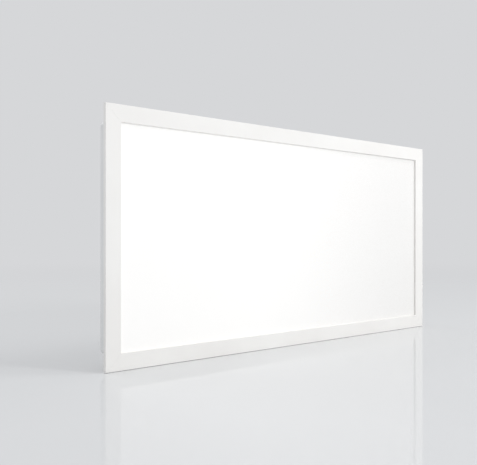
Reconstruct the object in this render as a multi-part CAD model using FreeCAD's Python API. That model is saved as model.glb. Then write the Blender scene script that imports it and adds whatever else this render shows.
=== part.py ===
import FreeCAD, Part

import math
import os

from FreeCAD import Rotation, Vector

# LED panel light for a 600 x 300 mm ceiling module: a mitred white extrusion frame round an opal
# diffuser, a ribbed steel back pan with the LED boards inside, and a driver box on its rear face.
#
# Millimetres. +X runs along the panel's length, +Z along its short side, and the light faces -Y.
# The origin is the centre of the light opening, in the plane of the frame's front face.
# "Depth" is distance behind that plane, so it is the Y coordinate.

# ---------------------------------------------------------------- driving dimensions
panel_length = 595.0
panel_height = 295.0
overall_depth = 40.0           # front face of the frame to the rear face of the back pan

# frame extrusion
border = 19.5                  # width of the frame seen from the front
rim_depth = 4.4                # depth of the hollow rim outside the back pan
extrusion_wall = 1.2
lip_depth = 3.0                # how far the diffuser lies behind the front face
edge_radius = 0.4              # rounding of the extrusion's two front edges
spigot_length = 10.0           # wall that stands behind the rim, inside the back pan
spigot_end_gap = 5.0           # leaves the back pan's rounded corner free
lip_groove = 1.35              # between the spigot wall and the lip that holds the diffuser
mitre_gap = 0.1

# corner keys inside the extrusion's chamber
key_length = 45.0
key_screw_from_corner = 32.0
key_fit = 0.1

# back pan
pan_wall = 0.6
pan_corner_radius = 4.0
pan_rear_radius = 1.6
pan_fit = 0.15                 # between the pan side and the spigot inside it
long_side_screw_from_end = 52.5
short_side_screw_from_end = 57.5

# pressed stiffening beads on the pan's rear face
bead_width = 9.0
bead_height = 1.8
bead_radius = 1.26             # rounding of a bead's top edge, outside
bead_inner_step = 0.54         # how much smaller the rounding is inside
bead_end_margin = 24.5         # pan side to the centre of a bead's round end
short_bead_clearance = 26.0    # driver box to the centre of a short bead's round end

# diffuser, gasket and reflector tray
diffuser_thickness = 1.5
diffuser_gap = 0.35            # round the diffuser's edge, inside the spigot
diffuser_corner_radius = 1.5
gasket_thickness = 1.0
gasket_width = 3.2
tray_wall = 0.6
tray_flange = 3.2
tray_slope_run = 12.0          # how far each sloping side leans in from front to rear
tray_clearance = 3.4           # tray floor to pan floor

# LED boards
strip_side_margin = 31.0       # tray floor's long edge to the centre of an outer board
strip_end_margin = 8.7         # tray floor's short edge to a board's end
strip_width = 15.0
strip_thickness = 1.0
led_pitch = 66.0
led_end_margin = 18.0          # least distance from a board's end to its last LED
led_side = 3.0
led_height = 0.7
lens_radius = 7.5
lens_height = 7.0
lens_edge = 1.5
lens_dimple_radius = 2.5
lens_dimple = 0.7
lens_cavity_radius = 2.8
lens_cavity_height = 3.4
lens_hole_gap = 0.6
connector_length = 8.0
connector_width = 4.5
connector_height = 2.0
connector_setback = 1.0        # from the board's long edge

# small fixings
rivet_radius = 1.5
rivet_head_radius = 3.0
rivet_head = 0.8
rivet_tail_radius = 2.4
rivet_tail = 0.9
post_radius = 3.0
post_neck_radius = 2.0
post_head_radius = 4.0
post_head = 1.0
post_tail_radius = 2.6
post_tail = 0.9
hole_gap = 0.1                 # radial clearance of every fixing in its hole
screw_radius = 1.5
screw_head_radius = 2.8
screw_head = 1.7
screw_tip = 1.2                # how far a screw stands past what it holds
recess_width = 0.8
recess_span = 3.2
recess_depth = 0.9

# hanger nuts in the pan's rear face
hanger_from_short_side = 32.5
hanger_from_long_side = 28.5
hanger_bore_radius = 1.65
hanger_shank_radius = 3.0
hanger_body_radius = 4.2
hanger_body = 2.6

# swinging hold-down clips
clip_from_short_side = 92.5
clip_from_long_side = 14.0
clip_thickness = 1.2
clip_width = 14.0
clip_reach = 40.0
clip_tab_height = 4.0
clip_tab_width = 8.0
clip_end_radius = 2.0
clip_rivet_radius = 2.4
clip_rivet_head_radius = 4.8
clip_rivet_head = 1.5
clip_rivet_foot_radius = 4.0
clip_rivet_foot = 1.0
clip_shoulder_radius = 6.0
clip_shoulder = 0.5
clip_play = 0.1                # above and below the clip, between shoulder and head

# driver box
box_half_length = 118.0
box_sheet = 1.0
board_side_room = 6.0          # driver board's long edge to the box wall
component_headroom = 4.1       # tallest component to the free edge of the box walls
box_bend_radius = 1.4
box_screw_from_end = 6.5
box_screw_from_side = 6.5
end_tab_length = 11.0
end_tab_width = 9.0
end_fit = 0.1
rivet_relief_radius = 4.0      # lets the rivet tails under the box lie within its floor

# hinged cover
cover_gap = 0.2                # cover to the box's free edge
cover_side_gap = 0.4
cover_skirt = 7.0
cover_edge_radius = 0.7
hinge_x = 80.0
knuckle_length = 8.0
knuckle_gap = 0.3
knuckle_radius = 2.2
hinge_pin_radius = 1.0
pin_head_radius = 1.5
pin_head = 0.6
pin_press_gap = 0.02
pin_running_gap = 0.1
hinge_offset = 2.5             # hinge axis, out from the box wall

# quarter-turn fastener in the cover
fastener_from_end = 68.0
fastener_from_side = 9.0
knob_radius = 7.0
knob_height = 4.6
knob_slot_width = 1.6
knob_slot_depth = 1.4
knob_flutes = 16
knob_flute_radius = 0.7
fastener_radius = 1.8
fastener_play = 0.4
retainer_radius = 3.4
retainer_height = 0.8
wing_reach = 4.0
wing_width = 1.6
wing_height = 1.5
wing_depth = 9.0               # cover's inside face to the wing's far side
keeper_gap = 0.7               # keeper plate to the wing under it
keeper_thickness = 1.5
keeper_slot_gap = 0.9
keeper_half_length = 7.0
keeper_margin = 6.5
keeper_flange = 7.0            # along the box wall that the keeper is welded to

# cable inlet and blank
inlet_height = 9.0             # box floor to the centre of the inlet
inlet_hole_radius = 7.0
inlet_bore_radius = 4.75
inlet_flange_radius = 9.0
inlet_flange = 2.0
inlet_inside = 5.0             # how far the bushing reaches inside the end plate
flange_chamfer = 0.6
snap_radius = 7.7
snap_length = 2.4
snap_taper = 0.4               # how far the neck behind the snap is smaller than in the hole
snap_gap = 0.1
blank_flange = 1.4
blank_wall = 1.6

# cable clamp
clamp_from_end = 17.0
clamp_length = 10.0
clamp_half_width = 15.0
clamp_base_height = 4.0
clamp_bar_height = 3.5
clamp_opening = 10.0           # base to bar, with the bar at its raised position
clamp_groove_radius = 6.0
clamp_groove_depth = 1.0
clamp_screw_z = 11.0
clamp_screw_radius = 1.6
clamp_screw_head_radius = 3.0
clamp_screw_head = 2.0

# terminal block
terminal_from_end = 48.0
terminal_length = 24.0
terminal_height = 16.0
terminal_side = 1.0            # housing outside the poles
pole_pitch = 8.0
entry_height = 8.0             # box floor to the centre of the wire entries
entry_radius = 2.0
entry_length = 9.0
terminal_chamfer = 0.8
button_offset = 4.0            # from the block's centre towards the inlet
button_side = 5.0
button_gap = 0.3
button_well = 4.0
button_travel = 1.5
button_stand = 2.0             # how far a button stands out at rest
button_groove_width = 1.0
button_groove_depth = 0.6

# mains side wiring
mains_lead_radius = 1.1
pin_pitch = 7.0
lead_rise_half = 4.0           # half the length over which a mains lead rises to the board
earth_turn = 5.0
stud_from_end = 68.0
stud_from_side = 6.0
stud_radius = 2.0
stud_collar_radius = 3.6
stud_collar = 4.1
stud_top = 10.5
lug_radius = 4.2
lug_thickness = 0.8
lug_barrel_radius = 1.7
lug_barrel_length = 3.0
lug_neck = 1.5
lug_neck_half_width = 1.5
lug_barrel_lap = 1.0           # how far the flat neck runs onto the barrel
stud_chamfer = 0.4
nut_across_flats = 7.0
nut_height = 3.2

# driver board: it takes the length that the supply side and the low-voltage side leave it
supply_side = 74.0             # inlet end of the box to the driver board
board_from_end = 32.0          # driver board to the blank end of the box
board_half_width = 24.0
board_thickness = 1.6
standoff_height = 5.0
standoff_radius = 3.0
standoff_neck_radius = 1.5
standoff_tip_radius = 2.0
standoff_tip = 1.2
standoff_inset = 4.0
board_connector_height = 7.0
board_connector_length = 8.0
connector_inset = 2.0          # supply connector from the board's edge
input_connector_z = (-12.0, 4.0)
output_connector_z = (8.0, 17.0)

# Connector, bulk capacitor, transformer, heat sink, two output capacitors and connector stand in a
# row along the board. The length that they leave free is shared out between them in these parts.
row_gaps = (9.75, 18.75, 9.0, 6.4, 2.0, 6.0)

# transformer
core_length = 26.0
core_height = 14.5
core_width = 9.0
core_leg = 4.0
core_yoke = 2.4
coil_length = 26.0
coil_fit = 0.1
coil_radius = 3.0
bobbin_flange = 1.5
bobbin_margin = 2.5
bobbin_foot = 0.6

# capacitors and heat sink
bulk_z = 8.0
bulk_radius = 6.25
bulk_length = 20.0
output_cap_z = 10.0
output_cap_radius = 4.0
output_cap_height = 13.0
cap_edge_radius = 0.6
sink_start_z = -14.0
sink_end_z = 16.0
sink_plate = 1.6
sink_height = 14.0
fin_pitch = 5.0
fin_length = 4.0
fin_thickness = 1.0

# selector switches
switches_from_end = (56.0, 28.0)  # blank-side edge of the driver board to each switch's centre
switch_half_length = 6.5
switch_height = 6.5
switch_overlap = 2.2           # how far a switch body stands on the board
slider_half_side = 1.5
slider_travel = 2.5
slider_gap = 0.3
slider_reach = 3.0             # slider outside the box wall
slider_root = 3.8              # slider inside the switch body
slider_groove = 0.4            # width and depth of the two grip grooves across a slider's end
slot_gap = 0.6

# low-voltage leads
grommet_from_board = 12.0
grommet_z = 17.5
grommet_hole_radius = 6.0
grommet_flange_radius = 8.0
grommet_flange = 1.2
grommet_bore_radius = 3.6
grommet_chamfer = 0.4
dc_lead_radius = 0.65
dc_lead_spacing = 2.0
dc_slope_spacing = 1.5         # least between the leads' middles where they run at a slope
dc_exit_height = 3.4           # mid-height of the two leads above the driver board
dc_exit_run = 4.5
dc_turn_run = 5.5              # from the grommet, and again before the LED board's connector
jumper_bow = 5.0
jumper_spacing = 3.0

# ---------------------------------------------------------------- sizes that follow
# across the panel: the spigot and the inset are distances in from the panel's edge
half_length = panel_length / 2
half_height = panel_height / 2
spigot_inner = border - extrusion_wall - lip_groove
spigot_outer = spigot_inner - extrusion_wall
pan_inset = spigot_outer - pan_fit - pan_wall
pan_half_length = half_length - pan_inset
pan_half_height = half_height - pan_inset
diffuser_half_length = half_length - spigot_inner - diffuser_gap
diffuser_half_height = half_height - spigot_inner - diffuser_gap
tray_floor_half_length = diffuser_half_length - tray_flange - tray_slope_run
tray_floor_half_height = diffuser_half_height - tray_flange - tray_slope_run

# through the depth of the panel
diffuser_rear = lip_depth + diffuser_thickness
gasket_rear = diffuser_rear + gasket_thickness
pan_floor = overall_depth - pan_wall
tray_rear = pan_floor - tray_clearance
tray_front = tray_rear - tray_wall
strip_front = pan_floor - strip_thickness
lead_depth = strip_front - connector_height / 2

# LED boards: connectors, posts and rivets take the places halfway between two LEDs
outer_strip_z = tray_floor_half_height - strip_side_margin
strip_z = (-outer_strip_z, 0.0, outer_strip_z)
strip_length = 2 * (tray_floor_half_length - strip_end_margin)
leds_per_strip = int((strip_length - 2 * led_end_margin) / led_pitch) + 1
led_x = [led_pitch * (i - (leds_per_strip - 1) / 2) for i in range(leds_per_strip)]
between_leds = [(a + b) / 2 for a, b in zip(led_x, led_x[1:])]
connector_x = between_leds[-2]
post_x = sorted({between_leds[2], between_leds[-3]})
strip_rivet_x = [x for x in between_leds if abs(x) != connector_x and x not in post_x]

# fixings and clips on the pan
long_side_screw_x = pan_half_length - long_side_screw_from_end
short_side_screw_z = pan_half_height - short_side_screw_from_end
pan_screws_long_side = (-long_side_screw_x, 0.0, long_side_screw_x)
pan_screws_short_side = (-short_side_screw_z, short_side_screw_z)
hanger_x = pan_half_length - hanger_from_short_side
hanger_z = pan_half_height - hanger_from_long_side
clip_x = pan_half_length - clip_from_short_side
clip_z = pan_half_height - clip_from_long_side
clip_front = overall_depth + clip_shoulder + clip_play

# driver box, as wide and as deep as its board and tallest component need
box_half_width = board_half_width + board_side_room + box_sheet
box_floor = overall_depth + box_sheet
board_front = box_floor + standoff_height
board_top = board_front + board_thickness
box_edge = board_top + bobbin_foot + core_height + component_headroom
cover_front = box_edge + cover_gap
cover_rear = cover_front + box_sheet
hinge_depth = cover_rear - knuckle_radius
hinge_z = box_half_width + hinge_offset
box_screw_x = box_half_length - box_screw_from_end
box_screw_z = box_half_width - box_screw_from_side
fastener_x = fastener_from_end - box_half_length
fastener_z = fastener_from_side - box_half_width

# inside the driver box
inlet_depth = box_floor + inlet_height
clamp_x = clamp_from_end - box_half_length
terminal_x = terminal_from_end - box_half_length
terminal_top = box_floor + terminal_height
entry_depth = box_floor + entry_height
button_x = terminal_x - button_offset
stud_x = stud_from_end - box_half_length
stud_z = box_half_width - stud_from_side
board_end = box_half_length - board_from_end
board_start = supply_side - box_half_length
switch_x = [board_end - x for x in switches_from_end]
slider_depth = board_top + switch_height / 2
grommet_x = board_end + grommet_from_board

# the row of components along the driver board
row_lengths = (
    board_connector_length, 2 * bulk_radius, core_length, sink_plate + fin_length,
    2 * output_cap_radius, 2 * output_cap_radius, board_connector_length,
)
row_free = board_end - board_start - connector_inset - sum(row_lengths)
row_starts = [board_start + connector_inset]
for length, gap in zip(row_lengths, row_gaps):
    row_starts.append(row_starts[-1] + length + row_free * gap / sum(row_gaps))
bulk_x = row_starts[1] + bulk_radius
transformer_x = row_starts[2] + core_length / 2
sink_x = row_starts[3]
output_cap_x = [start + output_cap_radius for start in row_starts[4:6]]

# pressed beads run midway between what lies on each side of them
box_side = hinge_z + knuckle_radius
long_bead_z = (box_side + outer_strip_z - strip_width / 2) / 2
short_bead_z = (strip_width / 2 + long_bead_z - bead_width / 2) / 2
bead_end = pan_half_length - bead_end_margin
short_bead_start = box_half_length + short_bead_clearance

parts = {}


# ---------------------------------------------------------------- shape helpers
def block(x, y, z):
    """A box from three (low, high) pairs."""
    corner = Vector(x[0], y[0], z[0])
    return Part.makeBox(x[1] - x[0], y[1] - y[0], z[1] - z[0], corner)


def centred(half_x, y, half_z, x=0.0, z=0.0):
    """A box of two half sizes about (x, z), between two depths."""
    return block((x - half_x, x + half_x), y, (z - half_z, z + half_z))


def cylinder(radius, start, end):
    """A cylinder between two points."""
    start, end = Vector(*start), Vector(*end)
    return Part.makeCylinder(radius, (end - start).Length, start, end - start)


def disc(radius, y, x=0.0, z=0.0):
    """A cylinder along Y between two depths."""
    return cylinder(radius, (x, y[0], z), (x, y[1], z))


def moved(shape, x=0.0, y=0.0, z=0.0):
    copy = shape.copy()
    copy.translate(Vector(x, y, z))
    return copy


def turned_about_y(shape, degrees):
    copy = shape.copy()
    copy.rotate(Vector(0, 0, 0), Vector(0, 1, 0), degrees)
    return copy


def edges_along(shape, axis):
    """The straight edges parallel to an axis."""
    found = []
    for edge in shape.Edges:
        if len(edge.Vertexes) != 2:
            continue
        run = edge.Vertexes[1].Point - edge.Vertexes[0].Point
        straight = abs(run.Length - edge.Length) < 1e-6
        if straight and run.cross(axis).Length < 1e-6:
            found.append(edge)
    return found


def edges_at(shape, depth, axis):
    """The straight edges parallel to an axis that lie at one depth."""
    return [e for e in edges_along(shape, axis) if abs(e.BoundBox.Center.y - depth) < 1e-4]


def edges_at_depth(shape, depth):
    """The edges that lie wholly at one depth."""
    box_of = [(edge, edge.BoundBox) for edge in shape.Edges]
    return [e for e, b in box_of if abs(b.YMin - depth) < 1e-4 and abs(b.YMax - depth) < 1e-4]


def rounded_plate(half_x, y, half_z, radius, x=0.0, z=0.0):
    """A plate whose corners are rounded about Y."""
    plate = centred(half_x, y, half_z, x, z)
    return plate.makeFillet(radius, edges_along(plate, Vector(0, 1, 0)))


def ring_plate(half_x, half_z, width, y, radius):
    """A flat rectangular ring."""
    outer = rounded_plate(half_x, y, half_z, radius)
    return outer.cut(centred(half_x - width, y, half_z - width))


def turned(profile, axis=Vector(0, 1, 0)):
    """A solid turned about an axis through the origin from (radius, distance along it) points."""
    side = Vector(1, 0, 0) if abs(axis.x) < 0.5 else Vector(0, 1, 0)
    points = [side * r + axis * along for r, along in profile]
    face = Part.Face(Part.makePolygon(points + points[:1]))
    return face.revolve(Vector(0, 0, 0), axis, 360)


def prism(points, y):
    """A prism along Y from (x, z) points."""
    corners = [Vector(x, y[0], z) for x, z in points]
    face = Part.Face(Part.makePolygon(corners + corners[:1]))
    return face.extrude(Vector(0, y[1] - y[0], 0))


def joined(shapes):
    """The shapes fused into one solid."""
    first, rest = shapes[0], shapes[1:]
    return first.fuse(rest).removeSplitter() if rest else first


def group(shapes):
    return Part.makeCompound(shapes)


def rounded_path(points):
    """Straight runs joined by tangent arcs, each as large as its two runs allow."""
    points = [Vector(*p) for p in points]
    edges, radii, start = [], [], points[0]
    for before, corner, after in zip(points, points[1:], points[2:]):
        back, on = before - corner, after - corner
        shorter = min(back.Length, on.Length)
        back.normalize()
        on.normalize()
        half_turn = (math.pi - back.getAngle(on)) / 2
        radius = 0.45 * shorter / math.tan(half_turn)
        radii.append(round(radius, 1))
        reach = radius * math.tan(half_turn)
        enter, leave = corner + back * reach, corner + on * reach
        middle_way = back + on
        middle_way.normalize()
        middle = corner + middle_way * (radius / math.cos(half_turn) - radius)
        edges.append(Part.LineSegment(start, enter).toShape())
        edges.append(Part.Arc(enter, middle, leave).toShape())
        start = leave
    edges.append(Part.LineSegment(start, points[-1]).toShape())
    print("bend radii", radii)
    return Part.Wire(edges)


def lead(points, radius):
    """A round lead along a rounded path."""
    path = rounded_path(points)
    heading = Vector(*points[1]) - Vector(*points[0])
    section = Part.Wire(Part.makeCircle(radius, Vector(*points[0]), heading))
    tube = path.makePipeShell([section], True, False)
    print("length", round(path.Length, 1), "volume", round(tube.Volume, 1),
          "section times length", round(math.pi * radius ** 2 * path.Length, 1))
    return tube


def screw(head_at, direction, length, radius, head_radius, head, recess=True):
    """A pan-head screw: head_at is under the head, and the shank runs along direction."""
    shank = Part.makeCylinder(radius, length)
    cap = Part.makeCylinder(head_radius, head, Vector(0, 0, 0), Vector(0, 0, -1))
    cap = cap.makeFillet(head * 0.45, [e for e in cap.Edges if e.BoundBox.ZMax < -head + 1e-4])
    body = joined([shank, cap])
    if recess:
        for along, across in ((recess_span, recess_width), (recess_width, recess_span)):
            low = Vector(-along / 2, -across / 2, -head - 1)
            body = body.cut(Part.makeBox(along, across, 1 + recess_depth, low))
    body.Placement = FreeCAD.Placement(
        Vector(*head_at), Rotation(Vector(0, 0, 1), Vector(*direction))
    )
    return body


# ---------------------------------------------------------------- frame
def rail_section():
    """The extrusion's section in the (depth, -inward) plane, as a face at X = 0."""
    def at(inward, depth):
        return Vector(0, depth, -inward)

    r = edge_radius
    slant = r * (1 - math.cos(math.pi / 4))
    corners = [
        at(border, r), at(border, lip_depth), at(border - extrusion_wall, lip_depth),
        at(border - extrusion_wall, extrusion_wall), at(spigot_inner, extrusion_wall),
        at(spigot_inner, rim_depth + spigot_length), at(spigot_outer, rim_depth + spigot_length),
        at(spigot_outer, rim_depth), at(0, rim_depth), at(0, r),
    ]
    edges = [Part.LineSegment(a, b).toShape() for a, b in zip(corners, corners[1:])]
    edges.append(Part.Arc(at(0, r), at(slant, slant), at(r, 0)).toShape())
    edges.append(Part.LineSegment(at(r, 0), at(border - r, 0)).toShape())
    edges.append(Part.Arc(at(border - r, 0), at(border - slant, slant), at(border, r)).toShape())
    low, high = extrusion_wall, rim_depth - extrusion_wall
    chamber = [at(low, low), at(spigot_outer, low), at(spigot_outer, high), at(low, high)]
    hollow = Part.Face(Part.makePolygon(chamber + chamber[:1]))
    return Part.Face(Part.Wire(edges)).cut(hollow)


def key_screw_inward():
    return (extrusion_wall + spigot_outer) / 2


def rail(length, side_screws):
    """One mitred rail along X, its outer edge on Z = 0 and its body below that."""
    bar = rail_section().extrude(Vector(length, 0, 0))
    bar.translate(Vector(-length / 2, 0, 0))
    end = length / 2 - mitre_gap / 2
    full = (0, rim_depth + spigot_length)
    outline = [(-end, 0), (end, 0), (end - border, -border), (border - end, -border)]
    bar = bar.common(prism(outline, full))
    spigot_end = length / 2 - spigot_outer - spigot_end_gap
    for x in ((-length / 2, -spigot_end), (spigot_end, length / 2)):
        bar = bar.cut(block(x, (rim_depth, full[1]), (-border, 0)))
    for x in (key_screw_from_corner - length / 2, length / 2 - key_screw_from_corner):
        z = -key_screw_inward()
        bar = bar.cut(disc(screw_radius + hole_gap, (rim_depth - extrusion_wall, rim_depth), x, z))
        sink = Part.makeCone(
            screw_radius + hole_gap, screw_head_radius + hole_gap, extrusion_wall,
            Vector(x, rim_depth - extrusion_wall, z), Vector(0, 1, 0),
        )
        bar = bar.cut(sink)
    for x in side_screws:
        y = rim_depth + spigot_length / 2
        hole = cylinder(screw_radius + hole_gap, (x, y, -spigot_outer), (x, y, -spigot_inner))
        bar = bar.cut(hole)
    return bar


def frame():
    along = rail(panel_length, pan_screws_long_side)
    across = rail(panel_height, pan_screws_short_side)
    parts["frame_rail_top"] = moved(along, z=half_height)
    parts["frame_rail_bottom"] = moved(turned_about_y(along, 180), z=-half_height)
    parts["frame_stile_right"] = moved(turned_about_y(across, 90), x=half_length)
    parts["frame_stile_left"] = moved(turned_about_y(across, -90), x=-half_length)


def corner_keys():
    """L-shaped keys that fill the chamber at each corner, with countersunk screws from behind."""
    low = extrusion_wall + key_fit
    high = spigot_outer - key_fit
    depth = (extrusion_wall + key_fit, rim_depth - extrusion_wall - key_fit)
    across = key_screw_inward()
    outline = [
        (low, low), (key_length, low), (key_length, high),
        (high, high), (high, key_length), (low, key_length),
    ]
    keys, screws = [], []
    for sx in (-1, 1):
        for sz in (-1, 1):
            points = [(sx * (half_length - u), sz * (half_height - v)) for u, v in outline]
            key = prism(points, depth)
            for u, v in ((key_screw_from_corner, across), (across, key_screw_from_corner)):
                x, z = sx * (half_length - u), sz * (half_height - v)
                key = key.cut(disc(screw_radius + hole_gap, depth, x, z))
                screws.append(countersunk_screw(x, z, depth[0]))
            keys.append(key)
    parts["corner_keys"] = group(keys)
    parts["corner_screws"] = group(screws)


def countersunk_screw(x, z, tip):
    """A countersunk screw whose head is flush with the rear of the rim."""
    under_head = rim_depth - extrusion_wall
    shank = disc(screw_radius, (tip, under_head), x, z)
    head = Part.makeCone(
        screw_radius, screw_head_radius, extrusion_wall, Vector(x, under_head, z), Vector(0, 1, 0),
    )
    recess = (rim_depth - recess_depth, rim_depth)
    cross = [
        centred(recess_span / 2, recess, recess_width / 2, x, z),
        centred(recess_width / 2, recess, recess_span / 2, x, z),
    ]
    return joined([shank, head]).cut(cross)


# ---------------------------------------------------------------- light engine
def diffuser():
    half_x, half_z = diffuser_half_length, diffuser_half_height
    parts["diffuser"] = rounded_plate(half_x, (lip_depth, diffuser_rear), half_z, diffuser_corner_radius)
    parts["diffuser_gasket"] = ring_plate(
        half_x, half_z, gasket_width, (diffuser_rear, gasket_rear), diffuser_corner_radius
    )


def frustum(half_x, half_z, lean, y):
    """A four-sided hopper that leans in by lean between two depths."""
    def outline(shrink, depth):
        x, z = half_x - shrink, half_z - shrink
        ring = [Vector(sx * x, depth, sz * z) for sx, sz in ((-1, -1), (1, -1), (1, 1), (-1, 1))]
        return Part.makePolygon(ring + ring[:1])
    return Part.makeLoft([outline(0, y[0]), outline(lean, y[1])], True, True)


def reflector_tray():
    half_x, half_z = diffuser_half_length, diffuser_half_height
    inner_x, inner_z = half_x - tray_flange, half_z - tray_flange
    flange = rounded_plate(half_x, (gasket_rear, gasket_rear + tray_wall), half_z, diffuser_corner_radius)
    shell = frustum(inner_x + tray_wall, inner_z + tray_wall, tray_slope_run, (gasket_rear, tray_rear))
    hollow = frustum(inner_x, inner_z, tray_slope_run, (gasket_rear, tray_front))
    tray = joined([flange, shell]).cut(hollow)
    floor = (tray_front, tray_rear)
    holes = [disc(lens_radius + lens_hole_gap, floor, x, z) for z in strip_z for x in led_x]
    holes += [disc(post_neck_radius + hole_gap, floor, x, z) for z in strip_z for x in post_x]
    parts["reflector_tray"] = tray.cut(holes)


def lens():
    """A side-spreading lens standing on Y = 0 and rising towards -Y."""
    def at(radius, rise):
        return Vector(radius, -rise, 0)

    shoulder = at(lens_radius * 0.8, lens_height * 0.74)
    crown = at(lens_dimple_radius, lens_height)
    middle = at(0, lens_height - lens_dimple)
    cavity_shoulder = at(lens_cavity_radius * 0.75, lens_cavity_height * 0.68)
    outline = Part.Wire([
        Part.LineSegment(at(lens_cavity_radius, 0), at(lens_radius, 0)).toShape(),
        Part.LineSegment(at(lens_radius, 0), at(lens_radius, lens_edge)).toShape(),
        Part.Arc(at(lens_radius, lens_edge), shoulder, crown).toShape(),
        Part.LineSegment(crown, middle).toShape(),
        Part.LineSegment(middle, at(0, lens_cavity_height)).toShape(),
        Part.Arc(at(0, lens_cavity_height), cavity_shoulder, at(lens_cavity_radius, 0)).toShape(),
    ])
    return Part.Face(outline).revolve(Vector(0, 0, 0), Vector(0, 1, 0), 360)


def strip_rivet():
    """A blind rivet through a board and the pan floor, with its board face at Y = 0."""
    through = strip_thickness + pan_wall
    return turned([
        (0, -rivet_head), (rivet_head_radius * 0.6, -rivet_head), (rivet_head_radius, 0),
        (rivet_radius, 0), (rivet_radius, through), (rivet_tail_radius, through),
        (rivet_tail_radius * 0.8, through + rivet_tail), (0, through + rivet_tail),
    ])


def led_connectors():
    """Board connectors as (x, z of the board's edge, which way that edge faces)."""
    edge = strip_width / 2
    return [
        (connector_x, strip_z[2] - edge, -1), (-connector_x, strip_z[2] - edge, -1),
        (-connector_x, strip_z[1] + edge, 1), (connector_x, strip_z[1] - edge, -1),
        (connector_x, strip_z[0] + edge, 1),
    ]


def connector_face(edge_z, facing):
    """The Z of a connector's open face."""
    return edge_z - facing * connector_setback


def led_boards():
    boards, leds, lenses, rivets, sockets = [], [], [], [], []
    one_lens, one_rivet = lens(), strip_rivet()
    for z in strip_z:
        board = centred(strip_length / 2, (strip_front, pan_floor), strip_width / 2, 0, z)
        depth = (strip_front, pan_floor)
        holes = [disc(rivet_radius + hole_gap, depth, x, z) for x in strip_rivet_x]
        holes += [disc(post_neck_radius + hole_gap, depth, x, z) for x in post_x]
        boards.append(board.cut(holes))
        rivets += [moved(one_rivet, x, strip_front, z) for x in strip_rivet_x]
        on_board = (strip_front - led_height, strip_front)
        leds += [centred(led_side / 2, on_board, led_side / 2, x, z) for x in led_x]
        lenses += [moved(one_lens, x, strip_front, z) for x in led_x]
    for x, edge_z, facing in led_connectors():
        face = connector_face(edge_z, facing)
        z = sorted((face, face - facing * connector_width))
        half = connector_length / 2
        sockets.append(block((x - half, x + half), (strip_front - connector_height, strip_front), z))
    parts["led_boards"] = group(boards)
    parts["led_packages"] = group(leds)
    parts["led_lenses"] = group(lenses)
    parts["led_connectors"] = group(sockets)
    parts["board_rivets"] = group(rivets)


def jumper_leads():
    """The pairs of leads that carry current from each LED board to the next."""
    runs = [
        (-connector_x, strip_z[2] - strip_width / 2, strip_z[1] + strip_width / 2),
        (connector_x, strip_z[1] - strip_width / 2, strip_z[0] + strip_width / 2),
    ]
    leads = []
    for x, upper_edge, lower_edge in runs:
        top, bottom = connector_face(upper_edge, -1), connector_face(lower_edge, 1)
        quarter = (top - bottom) / 4
        for offset in (-jumper_spacing / 2, jumper_spacing / 2):
            leads.append(lead([
                (x + offset, lead_depth, top),
                (x + offset, lead_depth, top - quarter),
                (x + offset + jumper_bow, lead_depth, (top + bottom) / 2),
                (x + offset, lead_depth, bottom + quarter),
                (x + offset, lead_depth, bottom),
            ], dc_lead_radius))
    parts["jumper_leads"] = group(leads)


def reflector_posts():
    """Push-in posts that hold the tray off the LED boards."""
    post = turned([
        (0, tray_front - post_head), (post_head_radius * 0.7, tray_front - post_head),
        (post_head_radius, tray_front), (post_neck_radius, tray_front),
        (post_neck_radius, tray_rear), (post_radius, tray_rear), (post_radius, strip_front),
        (post_neck_radius, strip_front), (post_neck_radius, overall_depth),
        (post_tail_radius, overall_depth), (post_neck_radius * 0.7, overall_depth + post_tail),
        (0, overall_depth + post_tail),
    ])
    parts["reflector_posts"] = group([moved(post, x, 0, z) for z in strip_z for x in post_x])


# ---------------------------------------------------------------- back pan
def bead(x, z, grow, y, top_radius):
    """A round-ended bar from x[0] to x[1], grown sideways by grow."""
    half = bead_width / 2 + grow
    body = centred((x[1] - x[0]) / 2 + half, y, half, (x[0] + x[1]) / 2, z)
    body = body.makeFillet(half * 0.999, edges_along(body, Vector(0, 1, 0)))
    return body.makeFillet(top_radius, edges_at_depth(body, y[1]))


def pan_beads():
    """The beads' X ranges and Z places."""
    ends = ((short_bead_start, bead_end), (-bead_end, -short_bead_start))
    runs = [((-bead_end, bead_end), z) for z in (-long_bead_z, long_bead_z)]
    return runs + [(x, z) for z in (-short_bead_z, short_bead_z) for x in ends]


def box_screw_places():
    return [(sx * box_screw_x, sz * box_screw_z) for sx in (-1, 1) for sz in (-1, 1)]


def clip_places():
    return [(sx * clip_x, sz * clip_z) for sx in (-1, 1) for sz in (-1, 1)]


def hanger_places():
    return [(sx * hanger_x, sz * hanger_z) for sx in (-1, 1) for sz in (-1, 1)]


def pan_screws_at():
    """Under-head points and directions of the screws through the pan sides."""
    y = rim_depth + spigot_length / 2
    found = []
    for side in (-1, 1):
        found += [((x, y, side * pan_half_height), (0, 0, -side)) for x in pan_screws_long_side]
        found += [((side * pan_half_length, y, z), (-side, 0, 0)) for z in pan_screws_short_side]
    return found


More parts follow.
